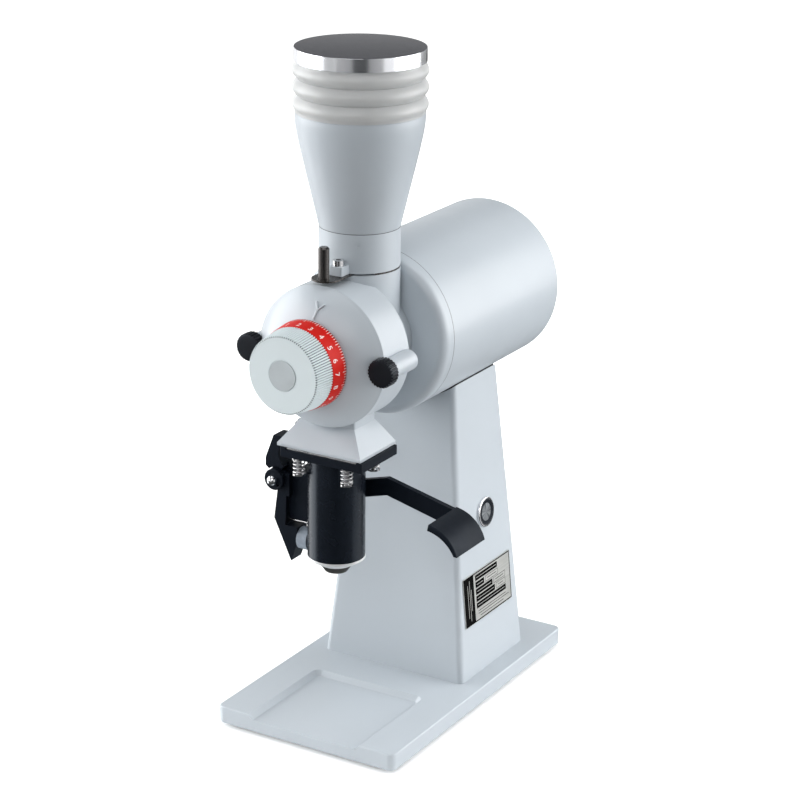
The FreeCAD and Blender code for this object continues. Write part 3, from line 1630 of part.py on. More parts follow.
def bracket_screw_lines():
    """Start points on the bracket pad's outer face, and the outward direction."""
    direction = skirt_slope_direction()
    lines = []
    for share in pad_screw_shares:
        y = pad_front + (pad_back - pad_front) * share
        lines.append((slope_point(pad_top_share() * pad_middle_share, y) + direction * pad_thickness, direction))
    return lines


def make_knocker_bracket():
    """The fixed claw: an ear behind the lever's hub, a body above it, and a pad on the skirt."""
    clear = hub_radius + bracket_gap
    side = clear * math.sqrt(0.5)
    strip_right = -skirt_half_width - face_gap
    strip_under = claw_top_z - pad_thickness
    body = prism_y([(pivot_x - side, pivot_z + side), (claw_left, claw_root_z), (claw_left, claw_shoulder_z),
                    (claw_top_x, claw_top_z), (strip_right, claw_top_z), (strip_right, strip_under),
                    ((claw_inner_x, claw_inner_z), (claw_lip_x, claw_lip_z)),
                    (pivot_x + clear * claw_nose_share, pivot_z + clear * math.sqrt(0.75)),
                    ((pivot_x, pivot_z + clear), (pivot_x - side, pivot_z + side))], hub_front, claw_back)
    ear = rod_y(ear_radius, ear_front, ear_back, pivot_x, pivot_z)
    strap = block(pivot_x - ear_radius, pivot_x + ear_radius, ear_front, ear_back,
                  pivot_z, pivot_z + clear + pad_thickness)
    lift = skirt_slope_direction() * pad_thickness
    foot = slope_point(0, 0)
    head = slope_point(pad_top_share(), 0)
    pad = prism_y([(strip_right, strip_under), (strip_right, foot.z), (foot.x, foot.z), (head.x, head.z),
                   (head.x + lift.x, head.z + lift.z), (foot.x + lift.x, foot.z + lift.z),
                   (strip_right - 2 * pad_thickness, strip_under)], pad_front, pad_back)
    bracket = fused(body, ear, strap, pad)
    bracket = bracket.cut(rod_y(pivot_bolt_radius + thread_clearance, ear_front - cut_overrun,
                                ear_back + cut_overrun, pivot_x, pivot_z))
    for start, outward in bracket_screw_lines():
        bracket = bracket.cut(Part.makeCylinder(bracket_screw_radius + slide_clearance,
                                                pad_thickness + 2 * cut_overrun,
                                                start - outward * (pad_thickness + cut_overrun), outward))
    return bracket


def make_bracket_screws():
    screws = []
    for start, outward in bracket_screw_lines():
        head = Part.makeCylinder(bracket_head_radius, bracket_head_height, start, outward)
        shank = Part.makeCylinder(bracket_screw_radius, pad_thickness + bracket_screw_reach,
                                  start - outward * (pad_thickness + bracket_screw_reach), outward)
        screws.append(fused(head, shank))
    return screws


# Electrical pieces on and in the column

def make_switch_bezel():
    ring = rod_x(bezel_radius, 0, bezel_proud, 0, 0)
    ring = rounded(ring, bezel_proud * bezel_round_share, lambda e: near(e.BoundBox.XMin, bezel_proud))
    barrel = rod_x(barrel_radius, -barrel_length, 0, 0, 0)
    body = fused(ring, barrel)
    return on_side(body.cut(rod_x(bezel_bore, -button_depth, bezel_proud + cut_overrun, 0, 0)), button_y, button_z)


def make_push_button():
    button = rod_x(button_radius, -button_depth / 3, button_proud, 0, 0)
    button = rounded(button, button_proud * button_round_share, lambda e: near(e.BoundBox.XMin, button_proud))
    return on_side(button, button_y, button_z)


def make_name_plate():
    sheet = block(0, name_plate_thickness, -name_plate_length / 2, name_plate_length / 2,
                  -name_plate_height / 2, name_plate_height / 2)
    sheet = rounded(sheet, name_plate_corner,
                    lambda e: near(e.BoundBox.YMin, e.BoundBox.YMax) and near(e.BoundBox.ZMin, e.BoundBox.ZMax))
    return on_side(sheet, plate_y, plate_z)


def inlet_block(extra, y0, y1):
    half_x = inlet_width / 2 - inlet_wall + extra
    half_z = inlet_height / 2 - inlet_wall + extra
    return block(-half_x, half_x, y0, y1, -half_z, half_z)


def make_mains_inlet():
    half_x = inlet_width / 2 + inlet_rim
    half_z = inlet_height / 2 + inlet_wall
    flange = block(-half_x, half_x, 0, inlet_flange, -half_z, half_z)
    flange = rounded(flange, inlet_rim / 2,
                     lambda e: near(e.BoundBox.XMin, e.BoundBox.XMax) and near(e.BoundBox.ZMin, e.BoundBox.ZMax))
    body = fused(flange, inlet_block(0, -inlet_depth, inlet_flange))
    well = inlet_block(-inlet_wall, -inlet_depth + inlet_wall, inlet_flange + cut_overrun)
    body = body.cut(well)
    pins = []
    for pin, lift in ((-1, -1), (0, 1), (1, -1)):
        x = pin * inlet_pin_pitch
        z = lift * inlet_pin_height / 2
        pins.append(block(x - inlet_pin_width / 2, x + inlet_pin_width / 2, -inlet_depth + inlet_wall / 2,
                          -inlet_depth + inlet_pin_length, z - inlet_pin_height / 2, z + inlet_pin_height / 2))
    return on_back(fused(body, *pins), inlet_z)


def main():
    os.makedirs("parts", exist_ok=True)
    save("base_plate", make_base_plate())
    save("rubber_feet", *make_rubber_feet())
    save("column", make_column())
    save("column_screws", *make_column_screws())
    save("column_gasket", make_column_gasket())
    save("motor_screws", *make_motor_screws())
    save("motor_housing", make_motor_housing())
    save("rear_cap", make_rear_cap())
    save("tie_rods", *make_tie_rods())
    save("stator", make_stator())
    save("stator_windings", *make_windings())
    save("rotor_core", make_rotor_core())
    save("motor_shaft", make_shaft())
    save("motor_bearings", make_front_bearing(), make_rear_bearing())
    save("grinder_body", make_grinder_body())
    save("gate_plate", make_gate_plate())
    save("gate_spacer", make_gate_spacer())
    save("gate_pin", make_gate_pin())
    save("hopper_collar", make_collar())
    save("collar_screws", *make_collar_screws(), make_set_screw())
    save("lug_screw", make_lug_screw())
    save("hopper_cone", make_hopper_cone())
    save("bellows", make_bellows())
    save("hopper_lid", make_lid())
    save("front_cover", make_front_cover())
    save("thumb_screw_left", make_thumb_screw(-1))
    save("thumb_screw_right", make_thumb_screw(1))
    save("dial_ring", make_dial_ring())
    save("adjusting_knob", make_knob())
    save("knob_cap", make_knob_cap())
    save("adjusting_spindle", make_spindle())
    save("inner_burr", make_burr(inner_burr_front, inner_carrier_front, 0))
    save("inner_burr_screws", *make_burr_screws(inner_burr_front, inner_carrier_front))
    save("burr_carrier", make_inner_carrier())
    save("shaft_nut", make_shaft_nut())
    save("feed_auger", make_auger())
    save("outer_burr", make_burr(outer_burr_back, outer_burr_front, -1))
    save("outer_burr_screws", *make_burr_screws(outer_burr_back, outer_burr_front))
    save("burr_slider", make_burr_slider())
    save("outlet_skirt", make_skirt())
    save("shaker_plate", make_shaker_plate())
    save("wear_sheet", make_wear_sheet())
    save("hanger_bolts", *make_hanger_bolts())
    save("hanger_springs", *make_hanger_springs())
    save("chute_tube", make_chute_tube())
    save("chute_ring", make_chute_ring())
    save("chute_nozzle", make_chute_nozzle())
    save("hand_lever", make_hand_lever())
    save("bumper", make_bumper())
    save("stop_rod", make_stop_rod())
    save("knocker_bracket", make_knocker_bracket())
    save("bracket_screws", *make_bracket_screws())
    save("pivot_bolt", make_pivot_bolt())
    save("pivot_disc", make_pivot_disc())
    save("pivot_nut", make_pivot_nut())
    save("lever_spring", make_lever_spring())
    save("switch_bezel", make_switch_bezel())
    save("push_button", make_push_button())
    save("name_plate", make_name_plate())
    save("mains_inlet", make_mains_inlet())


if __name__ == "__main__":
    main()
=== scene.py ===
import math

import bmesh
import bpy
from mathutils import Matrix, Vector
from mathutils.bvhtree import BVHTree


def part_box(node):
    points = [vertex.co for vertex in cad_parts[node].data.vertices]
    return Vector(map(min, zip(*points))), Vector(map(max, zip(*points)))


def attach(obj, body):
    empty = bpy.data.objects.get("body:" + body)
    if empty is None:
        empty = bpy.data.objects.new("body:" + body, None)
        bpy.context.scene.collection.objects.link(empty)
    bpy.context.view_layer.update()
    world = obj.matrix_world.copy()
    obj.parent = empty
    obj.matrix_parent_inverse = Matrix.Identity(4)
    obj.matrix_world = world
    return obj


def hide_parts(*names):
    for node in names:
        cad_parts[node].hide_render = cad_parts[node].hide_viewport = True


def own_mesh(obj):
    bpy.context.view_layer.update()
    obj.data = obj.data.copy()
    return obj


bl_info = {
    "name": "Coffee Grinder Dresser",
    "version": (1, 0, 0),
    "blender": (4, 5, 0),
    "location": "3D View > Sidebar > Grinder",
    "description": "Dresses the packed coffee grinder with detailed pieces, finishes, lights and a camera",
    "category": "Object",
}

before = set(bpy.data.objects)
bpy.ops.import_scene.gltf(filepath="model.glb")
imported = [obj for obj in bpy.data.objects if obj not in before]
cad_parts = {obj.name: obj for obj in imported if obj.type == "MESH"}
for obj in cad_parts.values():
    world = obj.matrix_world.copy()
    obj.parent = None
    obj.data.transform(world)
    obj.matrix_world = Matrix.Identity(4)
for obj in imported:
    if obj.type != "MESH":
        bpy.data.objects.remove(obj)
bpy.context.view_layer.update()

MM = 0.001
X, Y, Z = Vector((1, 0, 0)), Vector((0, 1, 0)), Vector((0, 0, 1))


# Places read from the frame, in millimetres

def span(node):
    """The lowest and highest corner of a CAD node, in millimetres."""
    low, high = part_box(node)
    return [c / MM for c in low], [c / MM for c in high]


def middle(node, axis):
    """The middle of a CAD node along an axis, in millimetres."""
    low, high = span(node)
    return (low[axis] + high[axis]) / 2


def half_width(node):
    """Half a CAD node's width, which is the radius of a round one, in millimetres."""
    low, high = span(node)
    return (high[0] - low[0]) / 2


# Where the motor's axis, the hopper and the chute stand, in millimetres
MOTOR_Z = middle("motor_shaft", 2)
HOPPER_Y = middle("hopper_lid", 1)
CHUTE_Y = middle("chute_tube", 1)

# The column's right side leans in; this is how its face stands
COLUMN_FOOT = (64.45, 14.0)
COLUMN_HEAD = (40.4, 262.0)
SIDE_LEAN = math.atan2(COLUMN_FOOT[0] - COLUMN_HEAD[0], COLUMN_HEAD[1] - COLUMN_FOOT[1])
SIDE_NORMAL = Vector((math.cos(SIDE_LEAN), 0, math.sin(SIDE_LEAN)))


def on_side(y, z):
    """A place on the column's right face: x along the outward normal, y back, z up the face."""
    share = (z - COLUMN_FOOT[1]) / (COLUMN_HEAD[1] - COLUMN_FOOT[1])
    x = COLUMN_FOOT[0] + (COLUMN_HEAD[0] - COLUMN_FOOT[0]) * share
    up = Vector((-math.sin(SIDE_LEAN), 0, math.cos(SIDE_LEAN)))
    turn = Matrix((SIDE_NORMAL, Y, up)).transposed().to_4x4()
    return Matrix.Translation((x, y, z)) @ turn


# Mesh helpers; all their lengths are in millimetres

def new_object(name, verts, faces, matrix=None):
    """An object from corners in millimetres and faces."""
    mesh = bpy.data.meshes.new(name)
    place = Matrix.Scale(MM, 4) @ (matrix or Matrix())
    mesh.from_pydata([place @ Vector(v) for v in verts], [], faces)
    mesh.validate()
    obj = bpy.data.objects.new(name, mesh)
    bpy.context.collection.objects.link(obj)
    return obj


# Corners nearer than this are one, in metres
SAME_PLACE = 0.000001


def tidy_normals(obj):
    """Closed pieces get outward faces."""
    work = bmesh.new()
    work.from_mesh(obj.data)
    bmesh.ops.remove_doubles(work, verts=work.verts, dist=SAME_PLACE)
    bmesh.ops.recalc_face_normals(work, faces=work.faces)
    work.to_mesh(obj.data)
    work.free()


def creased(obj, angle):
    """Smooth shading that breaks at every edge sharper than the angle."""
    obj.data.polygons.foreach_set("use_smooth", [True] * len(obj.data.polygons))
    obj.data.set_sharp_from_angle(angle=math.radians(angle))
    return obj


def shade(obj, angle=32):
    """Creased shading with face-weighted normals."""
    weighted = creased(obj, angle).modifiers.new("weighted_normals", "WEIGHTED_NORMAL")
    weighted.keep_sharp = True
    weighted.weight = 60
    return obj


def basis(axis):
    """A rotation that takes +Z to the axis."""
    if axis == Z:
        return Matrix()
    return axis.to_track_quat("Z", "Y").to_matrix().to_4x4()


def set_round(name, verts, rows, centre, axis):
    """Closes columns of points, each with as many rows, into a piece that runs round an axis."""
    faces = []
    columns = len(verts) // rows
    for column in range(columns):
        here, there = column * rows, (column + 1) % columns * rows
        for row in range(rows):
            above = (row + 1) % rows
            faces.append((here + row, there + row, there + above, here + above))
    obj = new_object(name, verts, faces, Matrix.Translation(centre) @ basis(axis))
    tidy_normals(obj)
    return obj


def turned(name, profile, centre, axis=Z, steps=128):
    """A turned piece from points (radius, height along the axis)."""
    verts = []
    for step in range(steps):
        angle = 2 * math.pi * step / steps
        across, up = math.cos(angle), math.sin(angle)
        verts += [(radius * across, radius * up, height) for radius, height in profile]
    return set_round(name, verts, len(profile), centre, axis)


def slab(name, outline, front, back):
    """A plate from an outline of (x, z) points, from front to back."""
    count = len(outline)
    verts = [(x, y, z) for y in (back, front) for x, z in outline]
    faces = [tuple(range(count))[::-1], tuple(range(count, 2 * count))]
    for here in range(count):
        there = (here + 1) % count
        faces.append((here, there, count + there, count + here))
    obj = new_object(name, verts, faces)
    tidy_normals(obj)
    return obj


def joined(name, parts):
    """One mesh from several, each of which keeps its own material slots."""
    work = bmesh.new()
    mesh = bpy.data.meshes.new(name)
    for part in parts:
        dressed = part.evaluated_get(bpy.context.evaluated_depsgraph_get())
        work.from_mesh(dressed.to_mesh())
        dressed.to_mesh_clear()
    work.to_mesh(mesh)
    work.free()
    for part in parts:
        bpy.data.objects.remove(part)
    obj = bpy.data.objects.new(name, mesh)
    bpy.context.collection.objects.link(obj)
    return obj


def swept(name, path, radius, sides=12):
    """A round wire along a list of points, with closed ends."""
    points = [Vector(p) for p in path]
    verts, faces = [], []
    up = Vector((0.31, 0.52, 0.79))
    for i, point in enumerate(points):
        ahead = points[min(i + 1, len(points) - 1)] - points[max(i - 1, 0)]
        across = ahead.cross(up).normalized()
        up = across.cross(ahead).normalized()
        for side in range(sides):
            angle = 2 * math.pi * side / sides
            verts.append(point + across * (radius * math.cos(angle)) + up * (radius * math.sin(angle)))
    for i in range(len(points) - 1):
        here, there = i * sides, (i + 1) * sides
        for side in range(sides):
            other = (side + 1) % sides
            faces.append((here + side, here + other, there + other, there + side))
    faces.append(tuple(range(sides))[::-1])
    faces.append(tuple(range((len(points) - 1) * sides, len(points) * sides)))
    obj = new_object(name, verts, faces)
    tidy_normals(obj)
    return shade(obj, 60)


# Across one rib: how far along it a point lies, and how much of the groove's depth it has
RIB_SHARES = ((0.0, 1.0), (0.14, 0.92), (0.26, 0.12), (0.36, 0.0), (0.64, 0.0), (0.74, 0.12), (0.86, 0.92))


def ribbed(name, rows, ribs, centre, axis):
    """A turned piece whose rows (radius, height, groove depth) carry straight ribs."""
    verts = []
    for rib in range(ribs):
        for place, groove in RIB_SHARES:
            angle = 2 * math.pi * (rib + place) / ribs
            for radius, height, depth in rows:
                reach = radius - depth * groove
                verts.append((reach * math.cos(angle), reach * math.sin(angle), height))
    return set_round(name, verts, len(rows), centre, axis)


def soften_node(node, width, segments=2, angle=28):
    """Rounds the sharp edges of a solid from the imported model, by modifiers alone."""
    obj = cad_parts[node]
    weld = obj.modifiers.new("weld", "WELD")
    weld.merge_threshold = 2 * SAME_PLACE
    bevel = obj.modifiers.new("edge_round", "BEVEL")
    bevel.width = width
    bevel.segments = segments
    bevel.limit_method = "ANGLE"
    bevel.angle_limit = math.radians(angle)
    weighted = obj.modifiers.new("weighted_normals", "WEIGHTED_NORMAL")
    weighted.weight = 80


def laid_on(tree, path, along, start):
    """The path's points, each moved along a direction from the start distance onto the surface."""
    points = []
    for point in path:
        origin = (Vector(point) - Vector(along) * start) * MM
        hit = tree.ray_cast(origin, Vector(along))[0]
        points.append(hit / MM if hit else Vector(point))
    return points


def carve(obj, cutter):
    """Takes the cutter's volume out of a piece."""
    cut = obj.modifiers.new("cut", "BOOLEAN")
    cut.operation = "DIFFERENCE"
    cut.solver = "EXACT"
    cut.object = cutter
    mesh = bpy.data.meshes.new_from_object(obj.evaluated_get(bpy.context.evaluated_depsgraph_get()))
    obj.modifiers.remove(cut)
    obj.data = mesh
    bpy.data.objects.remove(cutter)


def bent(start, corner, end, steps):
    """Points on the curve that leaves the start towards the corner and reaches the end from it."""
    points = []
    for step in range(steps + 1):
        t = step / steps
        points.append(tuple(start * (1 - t) ** 2 + corner * 2 * t * (1 - t) + end * t * t))
    return points


def divided(path, pieces):
    """A polyline with each run cut into equal pieces."""
    points = [Vector(path[0])]
    for a, b in zip(path, path[1:]):
        points += [Vector(a).lerp(Vector(b), step / pieces) for step in range(1, pieces + 1)]
    return points


def coil(centre, radius, low, high, turns, dead=0.5, per_turn=28):
    """Points of a vertical spring with closed ends."""
    points = []
    steps = int(turns * per_turn)
    for step in range(steps + 1):
        turn = step / per_turn
        live = min(max(turn - dead, 0), turns - 2 * dead) / (turns - 2 * dead)
        angle = 2 * math.pi * turn
        points.append((centre[0] + radius * math.cos(angle), centre[1] + radius * math.sin(angle),
                       low + (high - low) * live))
    return points


# How tall a figure is, as a share of the type's size, and how much its outline is fattened
FIGURE_SHARE, FIGURE_WEIGHT = 0.72, 0.001


def figure(text, height):
    """The outline mesh of a number, centred, in millimetres."""
    curve = bpy.data.curves.new("figure", "FONT")
    curve.body = text
    curve.size = height / FIGURE_SHARE
    curve.align_x, curve.align_y = "CENTER", "CENTER"
    curve.offset = height * FIGURE_WEIGHT
    curve.resolution_u = 4
    source = bpy.data.objects.new("figure", curve)
    bpy.context.collection.objects.link(source)
    bpy.context.view_layer.update()
    mesh = bpy.data.meshes.new_from_object(source)
    verts, faces = [v.co.copy() for v in mesh.vertices], [tuple(p.vertices) for p in mesh.polygons]
    bpy.data.objects.remove(source)
    bpy.data.meshes.remove(mesh)
    bpy.data.curves.remove(curve)
    return verts, faces


def dress(obj, look, body, replaces=()):
    """Gives a piece its finish and its CAD body, and hides the CAD nodes that it stands for."""
    obj.data.materials.clear()
    obj.data.materials.append(finish(look))
    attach(obj, body)
    if replaces:
        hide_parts(*replaces)
    return obj


# Finishes

def new_material(name):
    """A node material, its tree and its shader."""
    material = bpy.data.materials.new(name)
    material.use_nodes = True
    tree = material.node_tree
    shader = tree.nodes["Principled BSDF"]
    return material, tree, shader


def add_node(tree, kind, values):
    """A node, with its inputs set by name."""
    node = tree.nodes.new(kind)
    for socket, value in values.items():
        node.inputs[socket].default_value = value
    return node


def add_noise(tree, scale, detail=3.0, stretch=(1, 1, 1)):
    """Noise over the object's own coordinates, in metres."""
    coords = tree.nodes.new("ShaderNodeTexCoord")
    mapping = add_node(tree, "ShaderNodeMapping", {"Scale": stretch})
    noise = add_node(tree, "ShaderNodeTexNoise", {"Scale": scale, "Detail": detail})
    tree.links.new(coords.outputs["Object"], mapping.inputs["Vector"])
    tree.links.new(mapping.outputs["Vector"], noise.inputs["Vector"])
    return noise


def vary(tree, shader, noise, socket, low, high):
    """Lets a number of the shader wander between low and high with the noise."""
    spread = add_node(tree, "ShaderNodeMapRange",
                      {"From Min": 0.3, "From Max": 0.7, "To Min": low, "To Max": high})
    tree.links.new(noise.outputs["Fac"], spread.inputs["Value"])
    tree.links.new(spread.outputs["Result"], shader.inputs[socket])


def tint(tree, shader, noise, dark, light):
    """Lets the colour wander between two near shades."""
    ramp = tree.nodes.new("ShaderNodeValToRGB")
    for element, place, colour in zip(ramp.color_ramp.elements, (0.35, 0.65), (dark, light)):
        element.position = place
        element.color = (*colour, 1)
    tree.links.new(noise.outputs["Fac"], ramp.inputs["Fac"])
    tree.links.new(ramp.outputs["Color"], shader.inputs["Base Color"])


def roughen(tree, shader, noise, strength, distance):
    """Lets the noise stand out of the surface as a fine relief."""
    bump = add_node(tree, "ShaderNodeBump", {"Strength": strength, "Distance": distance})
    tree.links.new(noise.outputs["Fac"], bump.inputs["Height"])
    tree.links.new(bump.outputs["Normal"], shader.inputs["Normal"])


def shades(colour, amount):
    """A slightly darker and a slightly lighter shade of a colour."""
    return [c * (1 - amount) for c in colour], [min(1.0, c * (1 + amount)) for c in colour]


def grained(name, colour, spread, tint_noise, rough_noise, rough, grain=None, sockets=None):
    """A finish whose colour and roughness wander a little.

    A noise is a pair (scale, detail). The grain adds a strength and a distance to them.
    """
    material, tree, shader = new_material(name)
    tint(tree, shader, add_noise(tree, *tint_noise), *shades(colour, spread))
    vary(tree, shader, add_noise(tree, *rough_noise), "Roughness", *rough)
    if grain:
        roughen(tree, shader, add_noise(tree, *grain[:2]), *grain[2:])
    for socket, value in (sockets or {}).items():
        shader.inputs[socket].default_value = value
    return material


def gloss_paint(name, colour, rough=(0.34, 0.40)):
    """Baked enamel: even colour, a faint orange peel and a soft gloss."""
    return grained(name, colour, 0.012, (14, 2), (60, 4), rough, (650, 2, 0.04, 0.0002),
                   {"Specular IOR Level": 0.5, "Coat Weight": 0.12, "Coat Roughness": 0.2})


def floor_paint(name, colour, glow):
    """Matt floor paint, lifted to white as paper under a studio's lamps."""
    return grained(name, colour, 0.01, (3, 2), (8, 3), (0.62, 0.70), None,
                   {"Specular IOR Level": 0.2, "Emission Color": (1, 1, 1, 1), "Emission Strength": glow})


def satin_print(name, colour, sheen=0.16):
    """Printed or anodised colour with a low sheen."""
    return grained(name, colour, 0.04, (60, 3), (200, 4), (0.42, 0.52), (1200, 2, 0.05, 0.0001),
                   {"Specular IOR Level": sheen})


def black_coat(name, colour, rough, scale=900, strength=0.12, sheen=0.26):
    """Black powder coat with a fine grain and a cool sheen; no strength leaves it smooth."""
    grain = (scale, 3, strength, 0.00015) if strength else None
    return grained(name, colour, 0.12, (40, 3), (90, 4), rough, grain,
                   {"Specular IOR Level": sheen, "Specular Tint": (0.70, 0.84, 1.0, 1)})


def soft_rubber(name, colour):
    """Matt rubber with a fine grain."""
    return grained(name, colour, 0.10, (200, 3), (300, 3), (0.50, 0.66), (1500, 2, 0.15, 0.0001))


def milky_silicone(name, colour):
    """Translucent silicone: light goes a few millimetres in, the surface has a soft sheen, and a faint emission
    adds a painted glow.
    """
    return grained(name, colour, 0.015, (30, 2), (150, 3), (0.30, 0.40), (400, 2, 0.04, 0.0002),
                   {"Subsurface Weight": 0.85, "Subsurface Radius": (1.0, 0.95, 0.9),
                    "Subsurface Scale": 0.006, "Emission Color": (1, 1, 1, 1),
                    "Emission Strength": 0.07})


def polished_metal(name, colour, rough, metallic=1.0):
    """Plain metal; a share below one stands for a lacquered or matt-plated face."""
    return grained(name, colour, 0.02, (120, 2), (180, 4), rough, None, {"Metallic": metallic})


def brushed_metal(name, colour, rough, stretch):
    """Metal with fine brushing that runs along the axis of the smallest stretch."""
    material, tree, shader = new_material(name)
    streaks = add_noise(tree, 900, 3, stretch)
    tint(tree, shader, streaks, *shades(colour, 0.08))
    shader.inputs["Metallic"].default_value = 1.0
    vary(tree, shader, streaks, "Roughness", *rough)
    roughen(tree, shader, streaks, 0.10, 0.0001)
    return material


def turned_metal(name, colour, rough, centre, facing):
    """Metal faced on a lathe: streaks that run out from a centre, so that light fans across it."""
    material, tree, shader = new_material(name)
    coords = tree.nodes.new("ShaderNodeTexCoord")
    mapping = add_node(tree, "ShaderNodeMapping", {"Location": [c * MM for c in centre],
                                                   "Rotation": facing.to_track_quat("Z", "Y").to_euler()})
    mapping.vector_type = "TEXTURE"
    split = tree.nodes.new("ShaderNodeSeparateXYZ")
    turn = tree.nodes.new("ShaderNodeMath")
    turn.operation = "ARCTAN2"
    fan = tree.nodes.new("ShaderNodeTexNoise")
    fan.noise_dimensions = "1D"
    fan.inputs["Scale"].default_value = 2.2
    fan.inputs["Detail"].default_value = 6.0
    tree.links.new(coords.outputs["Object"], mapping.inputs["Vector"])
    tree.links.new(mapping.outputs["Vector"], split.inputs["Vector"])
    tree.links.new(split.outputs["X"], turn.inputs[0])
    tree.links.new(split.outputs["Y"], turn.inputs[1])
    tree.links.new(turn.outputs["Value"], fan.inputs["W"])
    tint(tree, shader, fan, [c * 0.45 for c in colour], [min(1.0, c * 1.5) for c in colour])
    shader.inputs["Metallic"].default_value = 1.0
    vary(tree, shader, fan, "Roughness", *rough)
    return material


FINISHES = {}


def finish(name):
    """The material of that name, made once from the sidebar's colours."""
    if name in FINISHES:
        return FINISHES[name]
    colours = bpy.context.scene.grinder_finish
    makers = {
        "white_enamel": (gloss_paint, colours.white),
        "knob_white": (gloss_paint, colours.knob_white, (0.40, 0.48)),
        # Painted shade for the floors of the knob's grooves
        "knob_groove": (gloss_paint, (0.17, 0.20, 0.22), (0.45, 0.55)),
        "red_ring": (satin_print, colours.red),
        "dial_shadow": (satin_print, (0.07, 0.004, 0.005)),
        "digit_white": (satin_print, (0.88, 0.84, 0.82)),
        "cap_grey": (satin_print, colours.cap_grey),
        "black_coat": (black_coat, colours.black, (0.44, 0.52), 900, 0.08, 0.14),
        "black_satin": (black_coat, (0.008, 0.008, 0.010), (0.30, 0.40), 1200, 0.10),
        "print_black": (satin_print, (0.004, 0.004, 0.004), 0.01),
        "black_gloss": (black_coat, colours.black, (0.26, 0.28), 0, 0, 0.5),
        "black_plastic": (black_coat, (0.012, 0.012, 0.014), (0.42, 0.52)),
        "black_rubber": (soft_rubber, (0.012, 0.012, 0.013)),
        "grey_rubber": (soft_rubber, colours.bumper),
        "chrome": (polished_metal, (0.80, 0.81, 0.83), (0.05, 0.10)),
        "lid_chrome": (polished_metal, (0.80, 0.81, 0.84), (0.18, 0.21)),
        "spring_steel": (polished_metal, (0.60, 0.60, 0.61), (0.30, 0.36)),
        "ring_steel": (polished_metal, (0.74, 0.75, 0.76), (0.34, 0.42), 0.4),
        "bright_steel": (polished_metal, (0.66, 0.66, 0.67), (0.14, 0.22)),
        "lid_steel": (polished_metal, colours.lid, (0.12, 0.14), 0.3),
        "sheet_steel": (brushed_metal, (0.62, 0.63, 0.64), (0.24, 0.34), (0.05, 1, 1)),
        "button_steel": (turned_metal, (0.29, 0.31, 0.33), (0.30, 0.42),
                         [middle("push_button", axis) for axis in range(3)], SIDE_NORMAL),
        "dark_steel": (brushed_metal, (0.085, 0.08, 0.078), (0.22, 0.34), (1, 1, 0.08)),
        "burnt_brass": (brushed_metal, (0.06, 0.055, 0.045), (0.34, 0.44), (1, 1, 0.3)),
        "cast_iron": (black_coat, (0.06, 0.06, 0.062), (0.50, 0.62), 700, 0.3),
        "copper_wire": (polished_metal, (0.45, 0.16, 0.07), (0.30, 0.42)),
        "plate_metal": (brushed_metal, (0.60, 0.61, 0.59), (0.40, 0.50), (1, 0.05, 1)),
        "silicone": (milky_silicone, colours.silicone),
        "pale_floor": (floor_paint, colours.floor, 0.15),
        "lit_floor": (floor_paint, colours.floor, 0.60),
    }
    maker, *values = makers[name]
    FINISHES[name] = maker(name, *values)
    return FINISHES[name]


# What the sidebar can change

def colour_property(name, description, default):
    """A colour, in linear red, green and blue."""
    return bpy.props.FloatVectorProperty(name=name, description=description, default=default, size=3,
                                         min=0.0, max=1.0, subtype="COLOR")


def length_property(name, description, default):
    """A length, with its default in millimetres."""
    return bpy.props.FloatProperty(name=name, description=description, default=default * MM, min=0.0,
                                   unit="LENGTH", precision=4)


def angle_property(name, description, degrees):
    """An angle, with its default in degrees."""
    return bpy.props.FloatProperty(name=name, description=description, default=math.radians(degrees),
                                   subtype="ANGLE")


def number_property(name, description, default, least=0.0):
    """A plain number with a lower limit."""
    return bpy.props.FloatProperty(name=name, description=description, default=default, min=least)


def count_property(name, description, default, least):
    """A whole number with a lower limit."""
    return bpy.props.IntProperty(name=name, description=description, default=default, min=least)


class GrinderFinish(bpy.types.PropertyGroup):
    """Colours of the grinder's finishes"""
    white: colour_property("White enamel", "Colour of the painted castings", (0.465, 0.51, 0.55))
    knob_white: colour_property("Knob white", "Colour of the adjusting knob", (0.65, 0.72, 0.74))
    red: colour_property("Dial red", "Colour of the dial ring", (0.56, 0.008, 0.003))
    cap_grey: colour_property("Cap grey", "Colour of the knob's cap", (0.46, 0.50, 0.52))
    black: colour_property("Black coat", "Colour of the lever and the chute", (0.0040, 0.0058, 0.0100))
    bumper: colour_property("Bumper grey", "Colour of the rubber bumper", (0.22, 0.26, 0.31))
    lid: colour_property("Lid steel", "Colour of the lid's metal", (0.085, 0.087, 0.102))
    silicone: colour_property("Silicone", "Colour of the bellows", (0.44, 0.45, 0.45))
    floor: colour_property("Floor", "Colour of the floor", (0.96, 0.96, 0.96))


class GrinderDetail(bpy.types.PropertyGroup):
    """Sizes of the details that only the dressed grinder has"""
    knob_ribs: count_property("Knob ribs", "Ribs round the knob", 100, 12)
    dial_digits: count_property("Dial digits", "Numbers round the dial", 20, 2)
    digit_height: length_property("Digit height", "Height of the dial's numbers", 5.0)
    tick_length: length_property("Tick length", "Length of the dial's fine marks", 3.9)
    edge_round: length_property("Edge round", "Radius of the small painted edges", 0.5)
    screw_ribs: count_property("Thumb screw ribs", "Ribs round a thumb screw", 26, 6)
    spring_turns: number_property("Spring turns", "Turns of a hanger spring", 5.0, 1.0)


